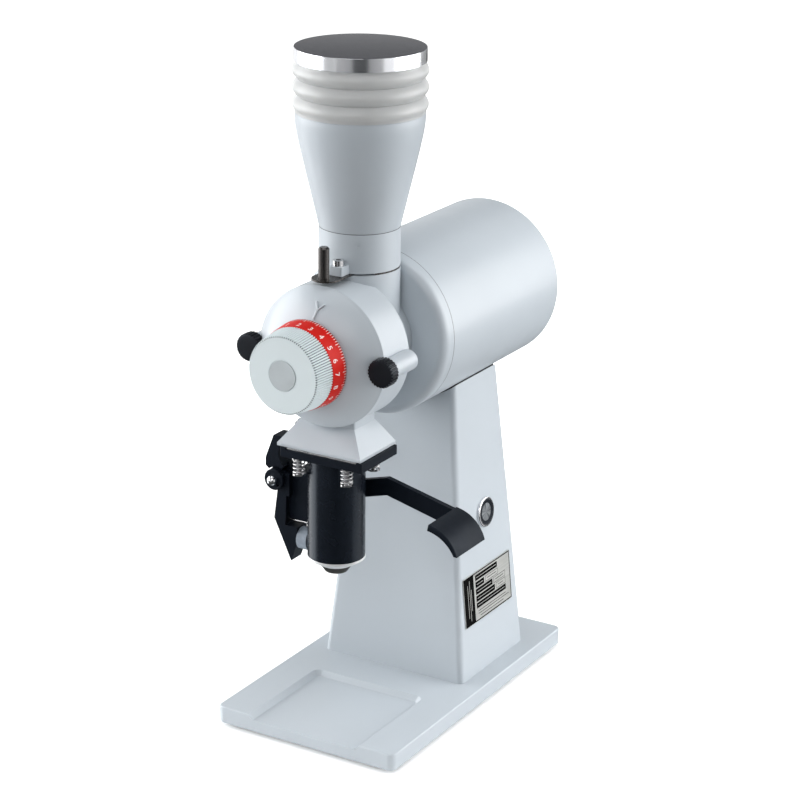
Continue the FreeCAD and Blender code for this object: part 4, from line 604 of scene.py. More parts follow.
class GrinderView(bpy.types.PropertyGroup):
    """The photograph's viewpoint and the studio's lights"""
    azimuth: angle_property("Azimuth", "Camera's turn to the right of the front", 30.663)
    elevation: angle_property("Elevation", "Camera's height above the horizon", 19.239)
    roll: angle_property("Roll", "Camera's roll", 0.599)
    distance: length_property("Distance", "Camera's distance from its target", 1889.184)
    target: bpy.props.FloatVectorProperty(
        name="Target", description="Point that the camera looks at", size=3,
        default=(1.646 * MM, 0.0, 240.76 * MM), subtype="TRANSLATION")
    lens: number_property("Lens", "Focal length in millimetres", 109.2906)
    left: number_property("Left softbox", "Power of the left softbox", 43.0)
    right: number_property("Right softbox", "Power of the right softbox", 38.0)
    front: number_property("Front fill", "Power of the fill light from the front", 4.2)
    strip: number_property("Strips", "Power of each dim strip light", 0.7)
    back: number_property("Back panel", "Power of the dim panel behind", 3.0)
    overhead: number_property("Overhead", "Strength of the wide overhead light", 1.4)
    sky: number_property("Surround", "Strength of the grey surround", 0.07)


# Operators: one for each piece or group of like pieces

class StageOperator(bpy.types.Operator):
    """Set the pale floor, the soft studio lights and the photograph's camera"""
    bl_idname = "grinder.stage"
    bl_label = "Studio and camera"

    # How far out the lamps and the cards stand, in metres, and how tall a card is
    REACH = 1.6
    CARD_HEIGHT = 1.1

    # Lamps that give light: name, sidebar value of their power, turn from the camera, size, height
    SOFTBOXES = (("left_softbox", "left", -97, (1.9, 1.5), 0.72),
                 ("right_softbox", "right", 92, (1.8, 1.5), 0.72),
                 ("left_strip", "strip", -36, (0.7, 1.0), 0.8), ("right_strip", "strip", 34, (0.6, 1.0), 0.8),
                 ("back_panel", "back", 180, (2.4, 0.62), 0.51),
                 ("right_strip_behind", "strip", 150, (0.5, 1.0), 0.8),
                 ("left_strip_behind", "strip", -150, (0.5, 1.0), 0.8))

    # The fill light: turn from the camera, size, distance, height and how far it looks down
    FRONT_FILL = (-15, (0.8, 0.6), 1.2, 0.95, 0.6)

    # The wide light above: its place, and its spread in degrees
    OVERHEAD = ((0.05, 0.08, 2.0), 60)

    # Cards that only reflections show: name, turn from the camera, width, height above the floor, brightness
    CARDS = (("card_left_near", -28, 0.86, 0.30, 0.30), ("card_left", -55, 0.80, 0.30, 0.48),
             ("card_right_near", 26, 0.74, 0.30, 0.30), ("card_right", 52, 0.76, 0.30, 0.95),
             ("card_left_behind", -147, 1.00, 0.30, 1.00), ("card_right_behind", 137, 0.80, 0.30, 0.28),
             ("card_left_low", -108, 1.40, -0.60, 2.00), ("card_right_low", 92, 1.50, -0.60, 0.60))

    def execute(self, context):
        view = context.scene.grinder_view
        self.lay_floor()
        for name, power, turn, size, height in self.SOFTBOXES:
            heading = view.azimuth + math.radians(turn)
            self.hang_softbox(name, getattr(view, power), heading, size, self.REACH, height)
        turn, size, distance, height, dip = self.FRONT_FILL
        heading = view.azimuth + math.radians(turn)
        self.hang_softbox("front_fill", view.front, heading, size, distance, height, dip)
        for name, turn, width, height, glow in self.CARDS:
            power = glow * math.pi * width * self.CARD_HEIGHT
            heading = view.azimuth + math.radians(turn)
            size = (width, self.CARD_HEIGHT)
            card = self.hang_softbox(name, power, heading, size, self.REACH, height, dip=0.0)
            card.visible_diffuse = False
        self.hang_overhead(view.overhead)
        self.surround(context, view.sky)
        self.place_camera(context, view)
        context.scene.view_settings.view_transform = "Standard"
        return {"FINISHED"}

    def lay_floor(self):
        """A pale floor: a round part under the grinder, and the same floor far out round it.

        The far floor gives no light back, as if it were out of the lamps' reach.
        """
        top = span("rubber_feet")[0][2] - 0.05
        near, far, thick = 500.0, 9000.0, 20
        for name, inner, outer, paint in (("floor", 0, near, "pale_floor"),
                                          ("floor_far", near, far, "lit_floor")):
            profile = [(inner, top - thick), (outer, top - thick), (outer, top), (inner, top)]
            floor = turned(name, profile, (0, 0, 0), Z, 96)
            floor.visible_diffuse = paint == "pale_floor"
            floor.visible_glossy = False
            floor.data.materials.append(finish(paint))

    def hang_lamp(self, name, lamp, place, aim):
        """A lamp that looks at a point and that the camera doesn't see."""
        obj = bpy.data.objects.new(name, lamp)
        obj.location = place
        obj.rotation_mode = "QUATERNION"
        obj.rotation_quaternion = (Vector(aim) - Vector(place)).to_track_quat("-Z", "Y")
        obj.visible_camera = False
        bpy.context.collection.objects.link(obj)
        return obj

    def hang_softbox(self, name, power, heading, size, distance, height, dip=0.25):
        """A softbox at a heading from the front, that looks down by the dip."""
        lamp = bpy.data.lights.new(name, "AREA")
        lamp.shape = "RECTANGLE"
        lamp.size, lamp.size_y = size
        lamp.energy = power
        place = (distance * math.sin(heading), -distance * math.cos(heading), height)
        return self.hang_lamp(name, lamp, place, (0, 0, height - dip))

    def hang_overhead(self, strength):
        """A wide, even light from above."""
        lamp = bpy.data.lights.new("overhead", "SUN")
        lamp.energy = strength
        place, spread = self.OVERHEAD
        lamp.angle = math.radians(spread)
        self.hang_lamp("overhead", lamp, place, (0, 0, 0))

    def surround(self, context, strength):
        """The even grey that fills the rest of the studio."""
        world = bpy.data.worlds.new("white_surround")
        world.use_nodes = True
        background = world.node_tree.nodes["Background"]
        background.inputs["Color"].default_value = (0.93, 0.97, 1.0, 1)
        background.inputs["Strength"].default_value = strength
        context.scene.world = world

    def place_camera(self, context, view):
        """The camera at the photograph's viewing angle."""
        flat = Vector((math.cos(view.azimuth), math.sin(view.azimuth), 0))
        back = Vector((math.sin(view.azimuth) * math.cos(view.elevation),
                       -math.cos(view.azimuth) * math.cos(view.elevation), math.sin(view.elevation)))
        up = back.cross(flat)
        right = flat * math.cos(view.roll) + up * math.sin(view.roll)
        above = up * math.cos(view.roll) - flat * math.sin(view.roll)
        camera = bpy.data.cameras.new("photograph_camera")
        camera.lens = view.lens
        camera.sensor_width = 36.0
        camera.clip_start, camera.clip_end = 0.05, 60.0
        obj = bpy.data.objects.new("photograph_camera", camera)
        obj.rotation_mode = "QUATERNION"
        obj.rotation_quaternion = Matrix((right, above, back)).transposed().to_quaternion()
        obj.location = Vector(view.target) + back * view.distance
        bpy.context.collection.objects.link(obj)
        context.scene.camera = obj


class FrameFinishOperator(bpy.types.Operator):
    """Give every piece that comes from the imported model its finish"""
    bl_idname = "grinder.frame_finish"
    bl_label = "Finishes of the solid pieces"

    BY_NODE = {
        "white_enamel": ("base_plate", "column", "motor_housing", "rear_cap", "grinder_body", "front_cover",
                         "hopper_collar", "hopper_cone", "outlet_skirt", "collar_screws"),
        "knob_white": ("adjusting_knob",),
        "red_ring": ("dial_ring",),
        "cap_grey": ("knob_cap",),
        "black_coat": ("thumb_screw_left", "thumb_screw_right", "shaker_plate", "hand_lever", "pivot_disc",
                       "knocker_bracket"),
        "black_gloss": ("chute_tube",),
        "black_plastic": ("mains_inlet",),
        "black_rubber": ("rubber_feet", "column_gasket"),
        "grey_rubber": ("bumper",),
        "chrome": ("switch_bezel", "chute_ring", "pivot_bolt"),
        "bright_steel": ("motor_screws", "tie_rods", "motor_bearings", "motor_shaft", "lug_screw",
                         "hanger_bolts", "hanger_springs", "lever_spring", "pivot_nut", "stop_rod",
                         "bracket_screws", "adjusting_spindle", "inner_burr_screws", "outer_burr_screws",
                         "shaft_nut"),
        "dark_steel": ("column_screws", "gate_spacer", "gate_plate", "gate_pin", "inner_burr", "outer_burr"),
        "button_steel": ("push_button",),
        "sheet_steel": ("wear_sheet",),
        "lid_steel": ("hopper_lid",),
        "burnt_brass": ("chute_nozzle",),
        "cast_iron": ("stator", "rotor_core", "feed_auger", "burr_carrier", "burr_slider"),
        "copper_wire": ("stator_windings",),
        "plate_metal": ("name_plate",),
        "silicone": ("bellows",),
    }

    def execute(self, context):
        for name, nodes in self.BY_NODE.items():
            for node in nodes:
                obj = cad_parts[node]
                if not obj.material_slots:
                    obj.data.materials.append(finish(name))
                for slot in obj.material_slots:
                    slot.material = finish(name)
        missed = set(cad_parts) - {n for nodes in self.BY_NODE.values() for n in nodes}
        if missed:
            raise ValueError("no finish for " + ", ".join(sorted(missed)))
        return {"FINISHED"}


class BellowsOperator(bpy.types.Operator):
    """Blow the milky silicone bellows between hopper and lid"""
    bl_idname = "grinder.bellows"
    bl_label = "Bellows"

    FOLDS = 3
    STEPS = 16  # points drawn on each fold
    FOLD_DEPTH = 3.7
    WALL = 1.7
    PLUG_REACH = 7.0  # how far the lid's plug sits inside the bellows
    PLAY = 0.05  # keeps faces that touch from lying in one plane
    FOOT, HEAD, MOUTH = 47.95, 47.4, 40.4  # radii where it meets hopper and lid, and of its opening
    SLEEVE = (44.0, 45.4)  # inner and outer radius of the part that sits in the hopper

    def execute(self, context):
        sleeve_foot = span("bellows")[0][2] + 0.2
        bottom = span("hopper_cone")[1][2]
        top = span("hopper_lid")[0][2] + self.PLUG_REACH
        peak = half_width("bellows") - self.PLAY
        valley = peak - self.FOLD_DEPTH
        pitch = (top - bottom) / self.FOLDS
        outside = []
        for fold in range(self.FOLDS):
            for step in range(self.STEPS):
                share = step / self.STEPS
                height = bottom + pitch * (fold + share)
                radius = valley + (peak - valley) * (0.5 - 0.5 * math.cos(2 * math.pi * share)) ** 0.5
                if height < bottom + pitch * 0.5:
                    radius = max(radius, self.FOOT)
                if height > top - pitch * 0.5:
                    radius = max(radius, self.HEAD)
                outside.append((radius, height))
        outside.append((self.HEAD, top - self.PLAY))
        inside = [(self.MOUTH, top - self.PLAY), (self.MOUTH, top - self.WALL)]
        inside += [(radius - self.WALL, height) for radius, height in reversed(outside[2:-3])]
        bore, sleeve = self.SLEEVE
        inside += [(bore, bottom), (bore, sleeve_foot), (sleeve, sleeve_foot), (sleeve, bottom - self.PLAY)]
        obj = turned("bellows_skin", outside + inside, (0, HOPPER_Y, 0), Z, 160)
        dress(shade(obj, 50), "silicone", "bellows_body", ("bellows",))
        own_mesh(obj)
        return {"FINISHED"}


class HopperOperator(bpy.types.Operator):
    """Spin the painted hopper, whose cone runs smoothly into its upright band"""
    bl_idname = "grinder.hopper"
    bl_label = "Hopper"

    NECK = 30.5  # radius where the cone stands on the collar
    BAND_HEIGHT = 10.5
    WALL = 2.0
    SPIGOT = (26.3, 28.1)  # inner and outer radius of the part that sits in the collar

    def execute(self, context):
        low, high = span("hopper_cone")
        foot, top = span("hopper_collar")[1][2] + 0.02, high[2]
        radius, neck = half_width("hopper_cone"), self.NECK
        band = top - self.BAND_HEIGHT
        shoulder = Vector((radius, band))
        start, end = shoulder.lerp(Vector((neck, foot)), 0.28), Vector((radius, top - 3.0))
        profile = [(neck - 0.25, foot), (neck, foot + 0.25)] + bent(start, shoulder, end, 14)
        profile += [(radius, top - 0.3), (radius - 0.3, top)]
        bore, spigot = self.SPIGOT
        profile += [(radius - 1.95, top), (radius - self.WALL, band), (bore, foot), (bore, low[2]),
                    (spigot, low[2]), (spigot, foot)]
        hopper = turned("hopper_shell", profile, (0, HOPPER_Y, 0), Z, 192)
        dress(creased(hopper, 30), "white_enamel", "stand", ("hopper_cone",))
        return {"FINISHED"}


class KnobOperator(bpy.types.Operator):
    """Turn the adjusting knob with its straight ribs and smooth face"""
    bl_idname = "grinder.knob"
    bl_label = "Adjusting knob"

    RADIUS = 31.6  # at its back, with the ribs
    TAPER = 2.0  # how much smaller the ribs' front end is
    EDGE = 1.2  # length of the round edge at the front
    GROOVE = 1.15
    BORE = 8.0
    CAP_SEAT = (11.9, 0.25)  # radius and depth of the recess round the cap

    def execute(self, context):
        ribs = context.scene.grinder_detail.knob_ribs
        back, front = span("dial_ring")[0][1], span("adjusting_knob")[0][1]
        length = back - front
        radius, groove = self.RADIUS, self.GROOVE
        seat, depth = self.CAP_SEAT
        rows = [(self.BORE, 0.0, 0), (radius - 1.8, 0.0, 0), (radius, 0.0, groove), (radius, 0.3, groove),
                (30.6, length * 0.45, groove), (radius - self.TAPER, length - self.EDGE, groove),
                (29.15, length - 0.35, groove * 0.85), (28.8, length, groove * 0.6), (27.9, length, 0),
                (seat, length, 0), (seat - 0.2, length - depth, 0), (self.BORE, length - depth, 0)]
        knob = ribbed("knob_body", rows, ribs, (0, back, MOTOR_Z), -Y)
        dress(creased(knob, 24), "knob_white", "knob", ("adjusting_knob",))
        # The groove floors get a darker finish: painted shade in the knob's grooves
        knob.data.materials.append(finish("knob_groove"))
        for face in knob.data.polygons:
            x, y, z = face.center / MM
            along = back - y
            land = radius - self.TAPER * along / (length - self.EDGE)
            if 0.1 < along < length - 0.05 and 25.0 < math.hypot(x, z - MOTOR_Z) < land - groove * 0.6:
                face.material_index = 1
        return {"FINISHED"}


class DialOperator(bpy.types.Operator):
    """Set the red dial ring with its numbers and fine marks"""
    bl_idname = "grinder.dial"
    bl_label = "Dial ring"

    FIRST = -18.7  # where the number 1 stands, in degrees clockwise from the top
    BORE = 25.0
    TAPER = 1.5  # how much smaller the ring is at its front
    NUMBER_PLACE = 4.5  # how far back the middle of a number lies
    MARKS = 5  # marks for each number
    MARGIN = 0.45  # from the marks to the rear edge
    NUMBER_LIFT, MARK_LIFT = 0.06, 0.05  # how far the print stands off the ring

    def execute(self, context):
        low, high = span("dial_ring")
        self.radius = half_width("dial_ring")
        self.front, self.back = low[1], high[1]
        length = self.back - self.front
        self.slope = self.TAPER / length
        profile = [(self.BORE, 0), (self.reach(0) - 0.2, 0), (self.reach(0.2), 0.2),
                   (self.reach(length - 0.4), length - 0.4),
                   (self.reach(length) - 0.35, length), (self.BORE, length)]
        ring = turned("dial_band", profile, (0, self.front, MOTOR_Z), Y, 192)
        dress(shade(ring), "red_ring", "knob", ("dial_ring",))
        detail = context.scene.grinder_detail
        self.write_numbers(detail)
        self.cut_marks(detail)
        return {"FINISHED"}

    def reach(self, along):
        """The tapered ring's radius at a distance back from its front."""
        return self.radius - 1.75 + self.slope * along

    def wrapped(self, turn, along, lift):
        """The point on the ring at an angle in radians clockwise from the top, and at a distance back."""
        reach = self.reach(along) + lift
        return (reach * math.sin(turn), self.front + along, MOTOR_Z + reach * math.cos(turn))

    def write_numbers(self, detail):
        """The numbers from 0, each laid round the ring."""
        verts, faces = [], []
        for number in range(detail.dial_digits):
            turn = math.radians(self.FIRST + (number - 1) * 360 / detail.dial_digits)
            shape, plates = figure(str(number), detail.digit_height / MM)
            start = len(verts)
            verts += [self.wrapped(turn + v.x / self.radius, self.NUMBER_PLACE + v.y, self.NUMBER_LIFT)
                      for v in shape]
            faces += [tuple(start + i for i in plate) for plate in plates]
        numbers = new_object("dial_numbers", verts, faces)
        dress(numbers, "digit_white", "knob")

    def cut_marks(self, detail):
        """Light marks along the rear edge, a longer one at each number, with dark marks of painted shade
        between them.
        """
        length = self.back - self.front
        count = detail.dial_digits * self.MARKS
        long_mark = detail.tick_length / MM
        for name, colour, offset, shares, half in (("dial_marks", "digit_white", 0.0, (1.0, 0.62), 0.21),
                                                   ("dial_notches", "dial_shadow", 0.5, (0.36, 0.36), 0.34)):
            verts, faces = [], []
            for mark in range(count):
                turn = math.radians(self.FIRST + (mark + offset) * 360 / count)
                reach = long_mark * shares[0 if mark % self.MARKS == 0 else 1]
                start, end = len(verts), length - self.MARGIN
                for side in (-half / self.radius, half / self.radius):
                    verts += [self.wrapped(turn + side, along, self.MARK_LIFT)
                              for along in (end - reach, end)]
                faces.append((start, start + 1, start + 3, start + 2))
            dress(new_object(name, verts, faces), colour, "knob")


def cover_profile(front, rim, crease, radius):
    """Points (radius, depth) of the cover's shallow dome, from its flat middle to the crease at its rim."""
    flat = 31.0
    start, end = Vector((flat, front)), Vector((radius - 0.5, crease))
    bulge = Vector((flat + (radius - flat) * 0.56, front + (crease - front) * 0.30))
    edge = [(radius - 0.1, crease + 0.35), (radius, crease + 0.9), (radius, rim)]
    return bent(start, bulge, end, 16) + edge


class CoverOperator(bpy.types.Operator):
    """Shape the painted cover: a shallow dome, its two ears, and the forked pointer above the dial"""
    bl_idname = "grinder.cover"
    bl_label = "Front cover"

    EAR = 57.2  # how far out the thumb screws stand
    EAR_THICK = 4.2
    EAR_HALF = 6.2  # half the height of an ear where it meets the dome
    POCKET = (11.3, 12.0)  # radius and depth of the room for a thumb screw's head

    # The pointer's strokes: each wire's radius and its points (x, z)
    STROKES = ((0.9, ((2.2, 351.7), (5.1, 346.8), (3.7, 340.2))), (0.75, ((9.0, 350.2), (5.1, 346.8))))
    FAR_IN_FRONT = -200.0  # where the strokes start, before they are laid on the dome
    PROUD = 0.4  # how far the middle of a stroke stands off the dome

    RADIUS = 54.2
    BORE = 8.6

    def execute(self, context):
        front, rim = span("front_cover")[0][1], span("grinder_body")[0][1]
        radius, ear_front = self.RADIUS, rim - self.EAR_THICK
        outside = [(self.BORE, front)] + cover_profile(front, rim, rim - 2.2, radius)
        inside = [(radius - 5.0, rim), (radius - 6.0, rim - 4.0), (34.0, front + 5.0),
                  (self.BORE, front + 5.0)]
        dome = turned("cover_dome", outside + inside, (0, 0, MOTOR_Z), Y, 192)
        corners, plates = [v.co for v in dome.data.vertices], [p.vertices for p in dome.data.polygons]
        tree = BVHTree.FromPolygons(corners, plates)
        parts = [dome]
        ear = [(2.4, 0), (7.5, 0), (7.9, 0.4), (7.9, self.EAR_THICK), (2.4, self.EAR_THICK)]
        room, depth = self.POCKET
        low, high = MOTOR_Z - self.EAR_HALF, MOTOR_Z + self.EAR_HALF
        for side in (-1, 1):
            x = side * self.EAR
            pocket = [(0, 0), (room, 0), (room, depth), (0, depth)]
            carve(dome, turned("screw_pocket", pocket, (x, ear_front - depth, MOTOR_Z), Y, 64))
            parts.append(creased(turned("cover_ear", ear, (x, ear_front, MOTOR_Z), Y, 64), 50))
            near, far = sorted((side * 48.0, side * (self.EAR - 2.6)))
            outline = [(near, low), (far, low), (far, high), (near, high)]
            parts.append(slab("ear_web", outline, ear_front, rim))
        creased(dome, 24)
        dress(joined("cover_shell", parts), "white_enamel", "cover", ("front_cover",))
        strokes = []
        for number, (wire, stroke) in enumerate(self.STROKES):
            flat = divided([(x, self.FAR_IN_FRONT, z) for x, z in stroke], 8)
            path = [point - Y * self.PROUD for point in laid_on(tree, flat, Y, 0)]
            strokes.append(swept("pointer_stroke_%d" % number, path, wire, 12))
        dress(joined("cover_pointer", strokes), "white_enamel", "cover")
        return {"FINISHED"}


class ThumbScrewOperator(bpy.types.Operator):
    """Turn the two black thumb screws that hold the cover"""
    bl_idname = "grinder.thumb_screws"
    bl_label = "Thumb screws"

    def execute(self, context):
        ribs = context.scene.grinder_detail.screw_ribs
        for side in ("left", "right"):
            node = "thumb_screw_" + side
            low, high = span(node)
            x, radius = middle(node, 0), half_width(node)
            length, tail = 9.5, high[1] - low[1]
            stem, collar, groove = 2.9, 6.5, 1.05
            rows = [(0, tail, 0), (stem - 0.5, tail, 0), (stem, tail - 0.6, 0), (stem, length + 0.4, 0),
                    (collar, length + 0.4, 0), (collar, length, 0), (9.6, length, 0), (10.5, length - 0.5, 0.5),
                    (radius, length - 1.2, groove), (radius, 1.4, groove), (10.6, 0.7, groove * 0.9),
                    (10.1, 0.25, 0.45), (9.3, 0.02, 0), (6.0, 0.0, 0), (0, 0.12, 0)]
            screw = ribbed("thumb_head_" + side, rows, ribs, (x, low[1], MOTOR_Z), Y)
            dress(shade(screw, 38), "black_satin", side + "_screw", (node,))
        return {"FINISHED"}


class LidOperator(bpy.types.Operator):
    """Turn the polished lid with its plug"""
    bl_idname = "grinder.lid"
    bl_label = "Lid"

    def execute(self, context):
        low, high = span("hopper_lid")
        radius, top, band_height = half_width("hopper_lid"), high[2], 10.3
        rim, foot, plug = top - band_height, low[2], 40.0
        profile = [(0, top - 0.02), (radius - 0.3, top), (radius - 0.14, top - 0.05),
                   (radius - 0.04, top - 0.15), (radius, top - 0.3), (radius, rim + 0.4), (radius - 0.4, rim),
                   (plug, rim), (plug, foot + 0.8), (plug - 0.8, foot), (0, foot)]
        lid = turned("lid_disc", profile, (0, HOPPER_Y, 0), Z, 192)
        dress(shade(lid, 30), "lid_chrome", "lid", ("hopper_lid",))
        lid.data.materials.append(finish("lid_steel"))
        for face in lid.data.polygons:
            if face.center.z > (top - 0.1) * MM:
                face.material_index = 1
        return {"FINISHED"}


class SeamOperator(bpy.types.Operator):
    """Draw dark rings at the joints between the painted castings: painted shade that stands for the shadow in
    each gap
    """
    bl_idname = "grinder.seams"
    bl_label = "Joint lines"

    MOTOR = (65.1, -28.2)  # radius and place along y of the joint between motor and casting

    def execute(self, context):
        collar_radius, collar_top = half_width("hopper_collar"), span("hopper_collar")[1][2]
        motor_radius, motor_y = self.MOTOR
        half, depth, proud = 0.2, 1.2, 0.03
        seams = []
        for name, radius, centre, axis in (("seam_hopper", collar_radius, (0, HOPPER_Y, collar_top), Z),
                                           ("seam_motor", motor_radius, (0, motor_y, MOTOR_Z), Y)):
            inner, outer = radius - depth, radius + proud
            profile = [(inner, -half), (outer, -half), (outer, half), (inner, half)]
            seams.append(turned(name, profile, centre, axis, 160))
        # The black rubber finish here is painted shade in the joints, not a gasket
        dress(joined("joint_lines", seams), "black_rubber", "stand")
        return {"FINISHED"}


class SpringOperator(bpy.types.Operator):
    """Wind the four hanger springs"""
    bl_idname = "grinder.springs"
    bl_label = "Springs"

    def execute(self, context):
        low, high = span("hanger_springs")
        turns = context.scene.grinder_detail.spring_turns
        wire, radius, shortest = 0.62, 4.2, 0.77
        inset = radius + 0.55
        springs = []
        for x in (low[0] + inset, high[0] - inset):
            for y in (low[1] + inset, high[1] - inset):
                path = coil((x, y), radius, low[2] + wire, high[2] - wire, turns)
                springs.append(swept("hanger_spring", path, wire, 10))
        for number, spring in enumerate(springs):
            spring.name = "hanger_spring_%d" % (number + 1)
            stands_for = ("hanger_springs",) if number == 0 else ()
            dress(spring, "spring_steel", "stand", stands_for)
            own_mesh(spring)
        return {"FINISHED"}


class ChuteRingOperator(bpy.types.Operator):
    """Turn the chrome ring at the foot of the chute, and the dark nozzle that it narrows to"""
    bl_idname = "grinder.chute_ring"
    bl_label = "Chute ring"

    def execute(self, context):
        radius, top = half_width("chute_ring"), middle("chute_ring", 2)
        lip, mouth = top - 7.2, 13.4
        profile = [(mouth, lip), (radius - 1.4, top - 2.6), (radius - 0.3, top - 2.1), (radius, top - 1.7),
                   (radius, top - 0.5), (radius - 0.3, top - 0.2), (radius - 0.9, top), (15.8, top),
                   (11.6, lip + 0.4), (mouth - 0.8, lip)]
        ring = turned("chute_band", profile, (0, CHUTE_Y, 0), Z, 160)
        dress(shade(ring, 25), "ring_steel", "chute", ("chute_ring",))
        foot, seat = (corner[2] for corner in span("chute_nozzle"))
        profile = [(12.0, seat), (12.0, lip + 0.6), (mouth - 0.5, lip + 0.2), (12.7, lip - 0.3),
                   (8.9, foot + 0.3), (8.5, foot), (7.2, foot), (10.6, lip + 0.2), (11.0, seat)]
        nozzle = turned("nozzle_lip", profile, (0, CHUTE_Y, 0), Z, 128)
        dress(shade(nozzle, 25), "burnt_brass", "chute", ("chute_nozzle",))
        return {"FINISHED"}


class SwitchOperator(bpy.types.Operator):
    """Fit the dark seal between the switch's bezel and its button"""
    bl_idname = "grinder.switch"
    bl_label = "Switch"

    PLACE = (49.0, 141.6)  # y and z of the switch's middle

    def execute(self, context):
        place = on_side(*self.PLACE)
        profile = [(10.0, 0.4), (10.9, 0.4), (10.9, 2.26), (10.6, 2.34), (9.9, 2.0), (7.3, 1.8), (7.2, 1.7),
                   (10.0, 1.7)]
        seal = turned("switch_seal", profile, (0, 0, 0), X, 96)
        seal.data.transform(Matrix.Scale(MM, 4) @ place @ Matrix.Scale(1 / MM, 4))
        dress(shade(seal), "black_coat", "stand")
        return {"FINISHED"}


class NamePlateOperator(bpy.types.Operator):
    """Print the plain black bands and lines on the name plate"""
    bl_idname = "grinder.name_plate"
    bl_label = "Name plate print"

    PLACE = (44.6, 77.4)  # y and z of the plate's middle
    SIZE = (76.0, 41.5)
    PRINT, OVER_PRINT = 0.84, 0.87  # how far the print stands off the column

    MARGIN, FRAME_WIDTH, BOX_WIDTH, RULE_HEIGHT = 0.4, 1.0, 0.35, 0.5
    BLOCK = (1.2, 16.2)  # where the black block on the left starts and ends
    BLOCK_LINES = ((6.2, 14.0), (9.2, 17.0), (11.4, 9.0))  # light lines on it: place, half their length
    BAND_START = 19.0
    LINE_INSET, LINE_WIDTH = 2.0, 0.6  # how far a light line stays inside its band; width of the block's lines

    # How far below the plate's top a printed band or box starts, its height, and its
    # ends from the left; a band's left end is BAND_START, and a rule has no height of its own
    BANDS = ((2.6, 4.7, 55.0), (8.4, 4.9, 33.0), (14.3, 4.9, 46.0), (20.2, 4.9, 49.5), (26.1, 4.6, 67.0))
    BOXES = ((8.4, 4.9, 35.0, 55.5), (14.3, 4.9, 48.0, 67.0), (20.2, 4.9, 51.5, 67.0))
    RULES = ((10.6, 38.0, 52.5), (16.5, 51.0, 64.0), (22.4, 55.0, 63.5), (33.0, 21.0, 66.0),
             (35.2, 21.0, 71.0), (37.6, 24.0, 62.0))

    def execute(self, context):
        self.place = on_side(*self.PLACE)
        self.verts, self.faces = [], []
        long, tall = self.SIZE
        left, top = -long / 2, tall / 2
        edge, (block, block_end) = self.MARGIN, self.BLOCK
        self.frame_line(left + edge, -left - edge, -top + edge, top - edge, self.FRAME_WIDTH)
        self.bar(left + block, left + block_end, -top + block, top - block)
        for drop, height, end in self.BANDS:
            self.bar(left + self.BAND_START, left + end, top - drop - height, top - drop)
        for drop, height, start, end in self.BOXES:
            self.frame_line(left + start, left + end, top - drop - height, top - drop, self.BOX_WIDTH)
        for drop, start, end in self.RULES:
            self.bar(left + start, left + end, top - drop - self.RULE_HEIGHT, top - drop)
        printed = new_object("plate_print", self.verts, self.faces)
        dress(printed, "print_black", "stand")
        self.verts, self.faces = [], []
        for drop, height, end in self.BANDS:
            centre, half = top - drop - height / 2, height * 0.05
            self.bar(left + self.BAND_START + self.LINE_INSET, left + end - self.LINE_INSET,
                     centre - half, centre + half, self.OVER_PRINT)
        for start, reach in self.BLOCK_LINES:
            self.bar(left + start, left + start + self.LINE_WIDTH, -reach, reach, self.OVER_PRINT)
        rules = new_object("plate_rules", self.verts, self.faces)
        dress(rules, "plate_metal", "stand")
        return {"FINISHED"}

    def bar(self, y0, y1, z0, z1, lift=PRINT):
        """Adds a flat rectangle, at its distance off the column."""
        start = len(self.verts)
        for y, z in ((y0, z0), (y1, z0), (y1, z1), (y0, z1)):
            self.verts.append(self.place @ Vector((lift, y, z)))
        self.faces.append((start, start + 1, start + 2, start + 3))

    def frame_line(self, y0, y1, z0, z1, width):
        """Adds the outline of a box."""
        self.bar(y0, y1, z0, z0 + width)
        self.bar(y0, y1, z1 - width, z1)
        self.bar(y0, y0 + width, z0 + width, z1 - width)
        self.bar(y1 - width, y1, z0 + width, z1 - width)


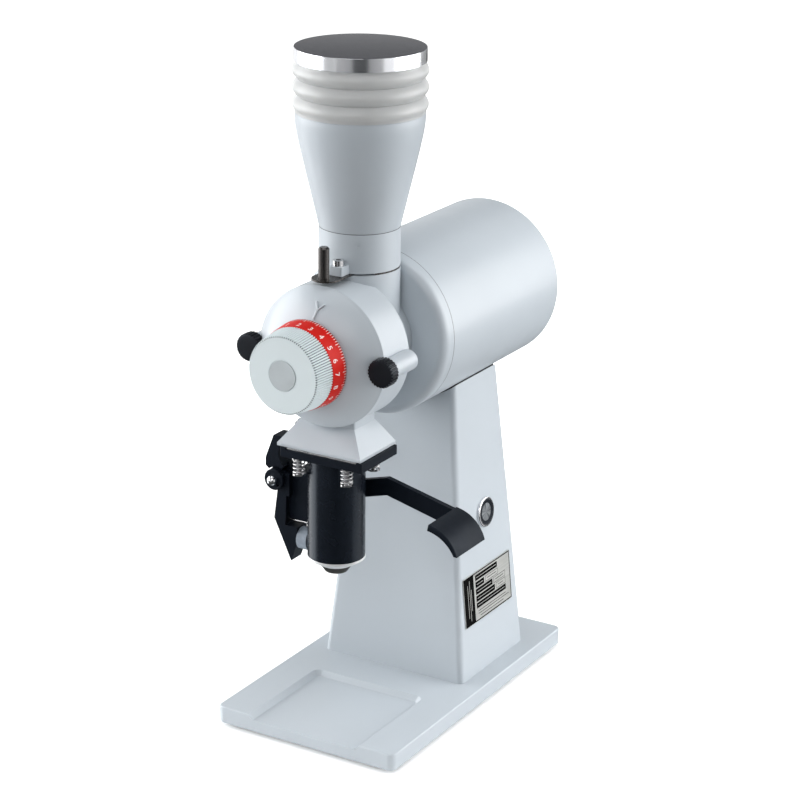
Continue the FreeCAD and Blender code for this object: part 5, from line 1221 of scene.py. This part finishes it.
class EdgeOperator(bpy.types.Operator):
    """Round the small edges of the plates, the lever and the castings"""
    bl_idname = "grinder.edges"
    bl_label = "Small edges"

    # Each node's share of the sidebar's edge radius
    SHARES = {"base_plate": 1.0, "column": 0.8, "outlet_skirt": 0.7, "shaker_plate": 0.8, "wear_sheet": 0.3,
              "hand_lever": 1.2, "knocker_bracket": 1.0, "gate_plate": 0.5, "pivot_disc": 0.8, "gate_pin": 0.8}

    def execute(self, context):
        edge = context.scene.grinder_detail.edge_round
        for node, share in self.SHARES.items():
            soften_node(node, edge * share)
        return {"FINISHED"}


OPERATORS = (StageOperator, FrameFinishOperator, BellowsOperator, HopperOperator, KnobOperator,
             DialOperator, CoverOperator, ThumbScrewOperator, LidOperator, SeamOperator, SpringOperator,
             ChuteRingOperator, SwitchOperator, NamePlateOperator, EdgeOperator)


class GrinderPanel(bpy.types.Panel):
    """Lists the grinder's pieces, colours and sizes"""
    bl_idname = "VIEW3D_PT_grinder"
    bl_label = "Coffee grinder"
    bl_space_type = "VIEW_3D"
    bl_region_type = "UI"
    bl_category = "Grinder"

    def draw(self, context):
        for group in ("grinder_finish", "grinder_detail", "grinder_view"):
            box = self.layout.box()
            settings = getattr(context.scene, group)
            for name in settings.bl_rna.properties.keys():
                if name not in ("rna_type", "name"):
                    box.prop(settings, name)
        for operator in OPERATORS:
            self.layout.operator(operator.bl_idname)


CLASSES = (GrinderFinish, GrinderDetail, GrinderView) + OPERATORS + (GrinderPanel,)


def register():
    """Makes the sidebar's values, the operators and the panel known to Blender."""
    for item in CLASSES:
        bpy.utils.register_class(item)
    bpy.types.Scene.grinder_finish = bpy.props.PointerProperty(type=GrinderFinish)
    bpy.types.Scene.grinder_detail = bpy.props.PointerProperty(type=GrinderDetail)
    bpy.types.Scene.grinder_view = bpy.props.PointerProperty(type=GrinderView)


def unregister():
    """Takes out again what register put in."""
    del bpy.types.Scene.grinder_view
    del bpy.types.Scene.grinder_detail
    del bpy.types.Scene.grinder_finish
    for item in reversed(CLASSES):
        bpy.utils.unregister_class(item)


def main():
    """Dresses the grinder, operator by operator."""
    register()
    for operator in OPERATORS:
        group, name = operator.bl_idname.split(".")
        getattr(getattr(bpy.ops, group), name)()


if __name__ == "__main__":
    main()
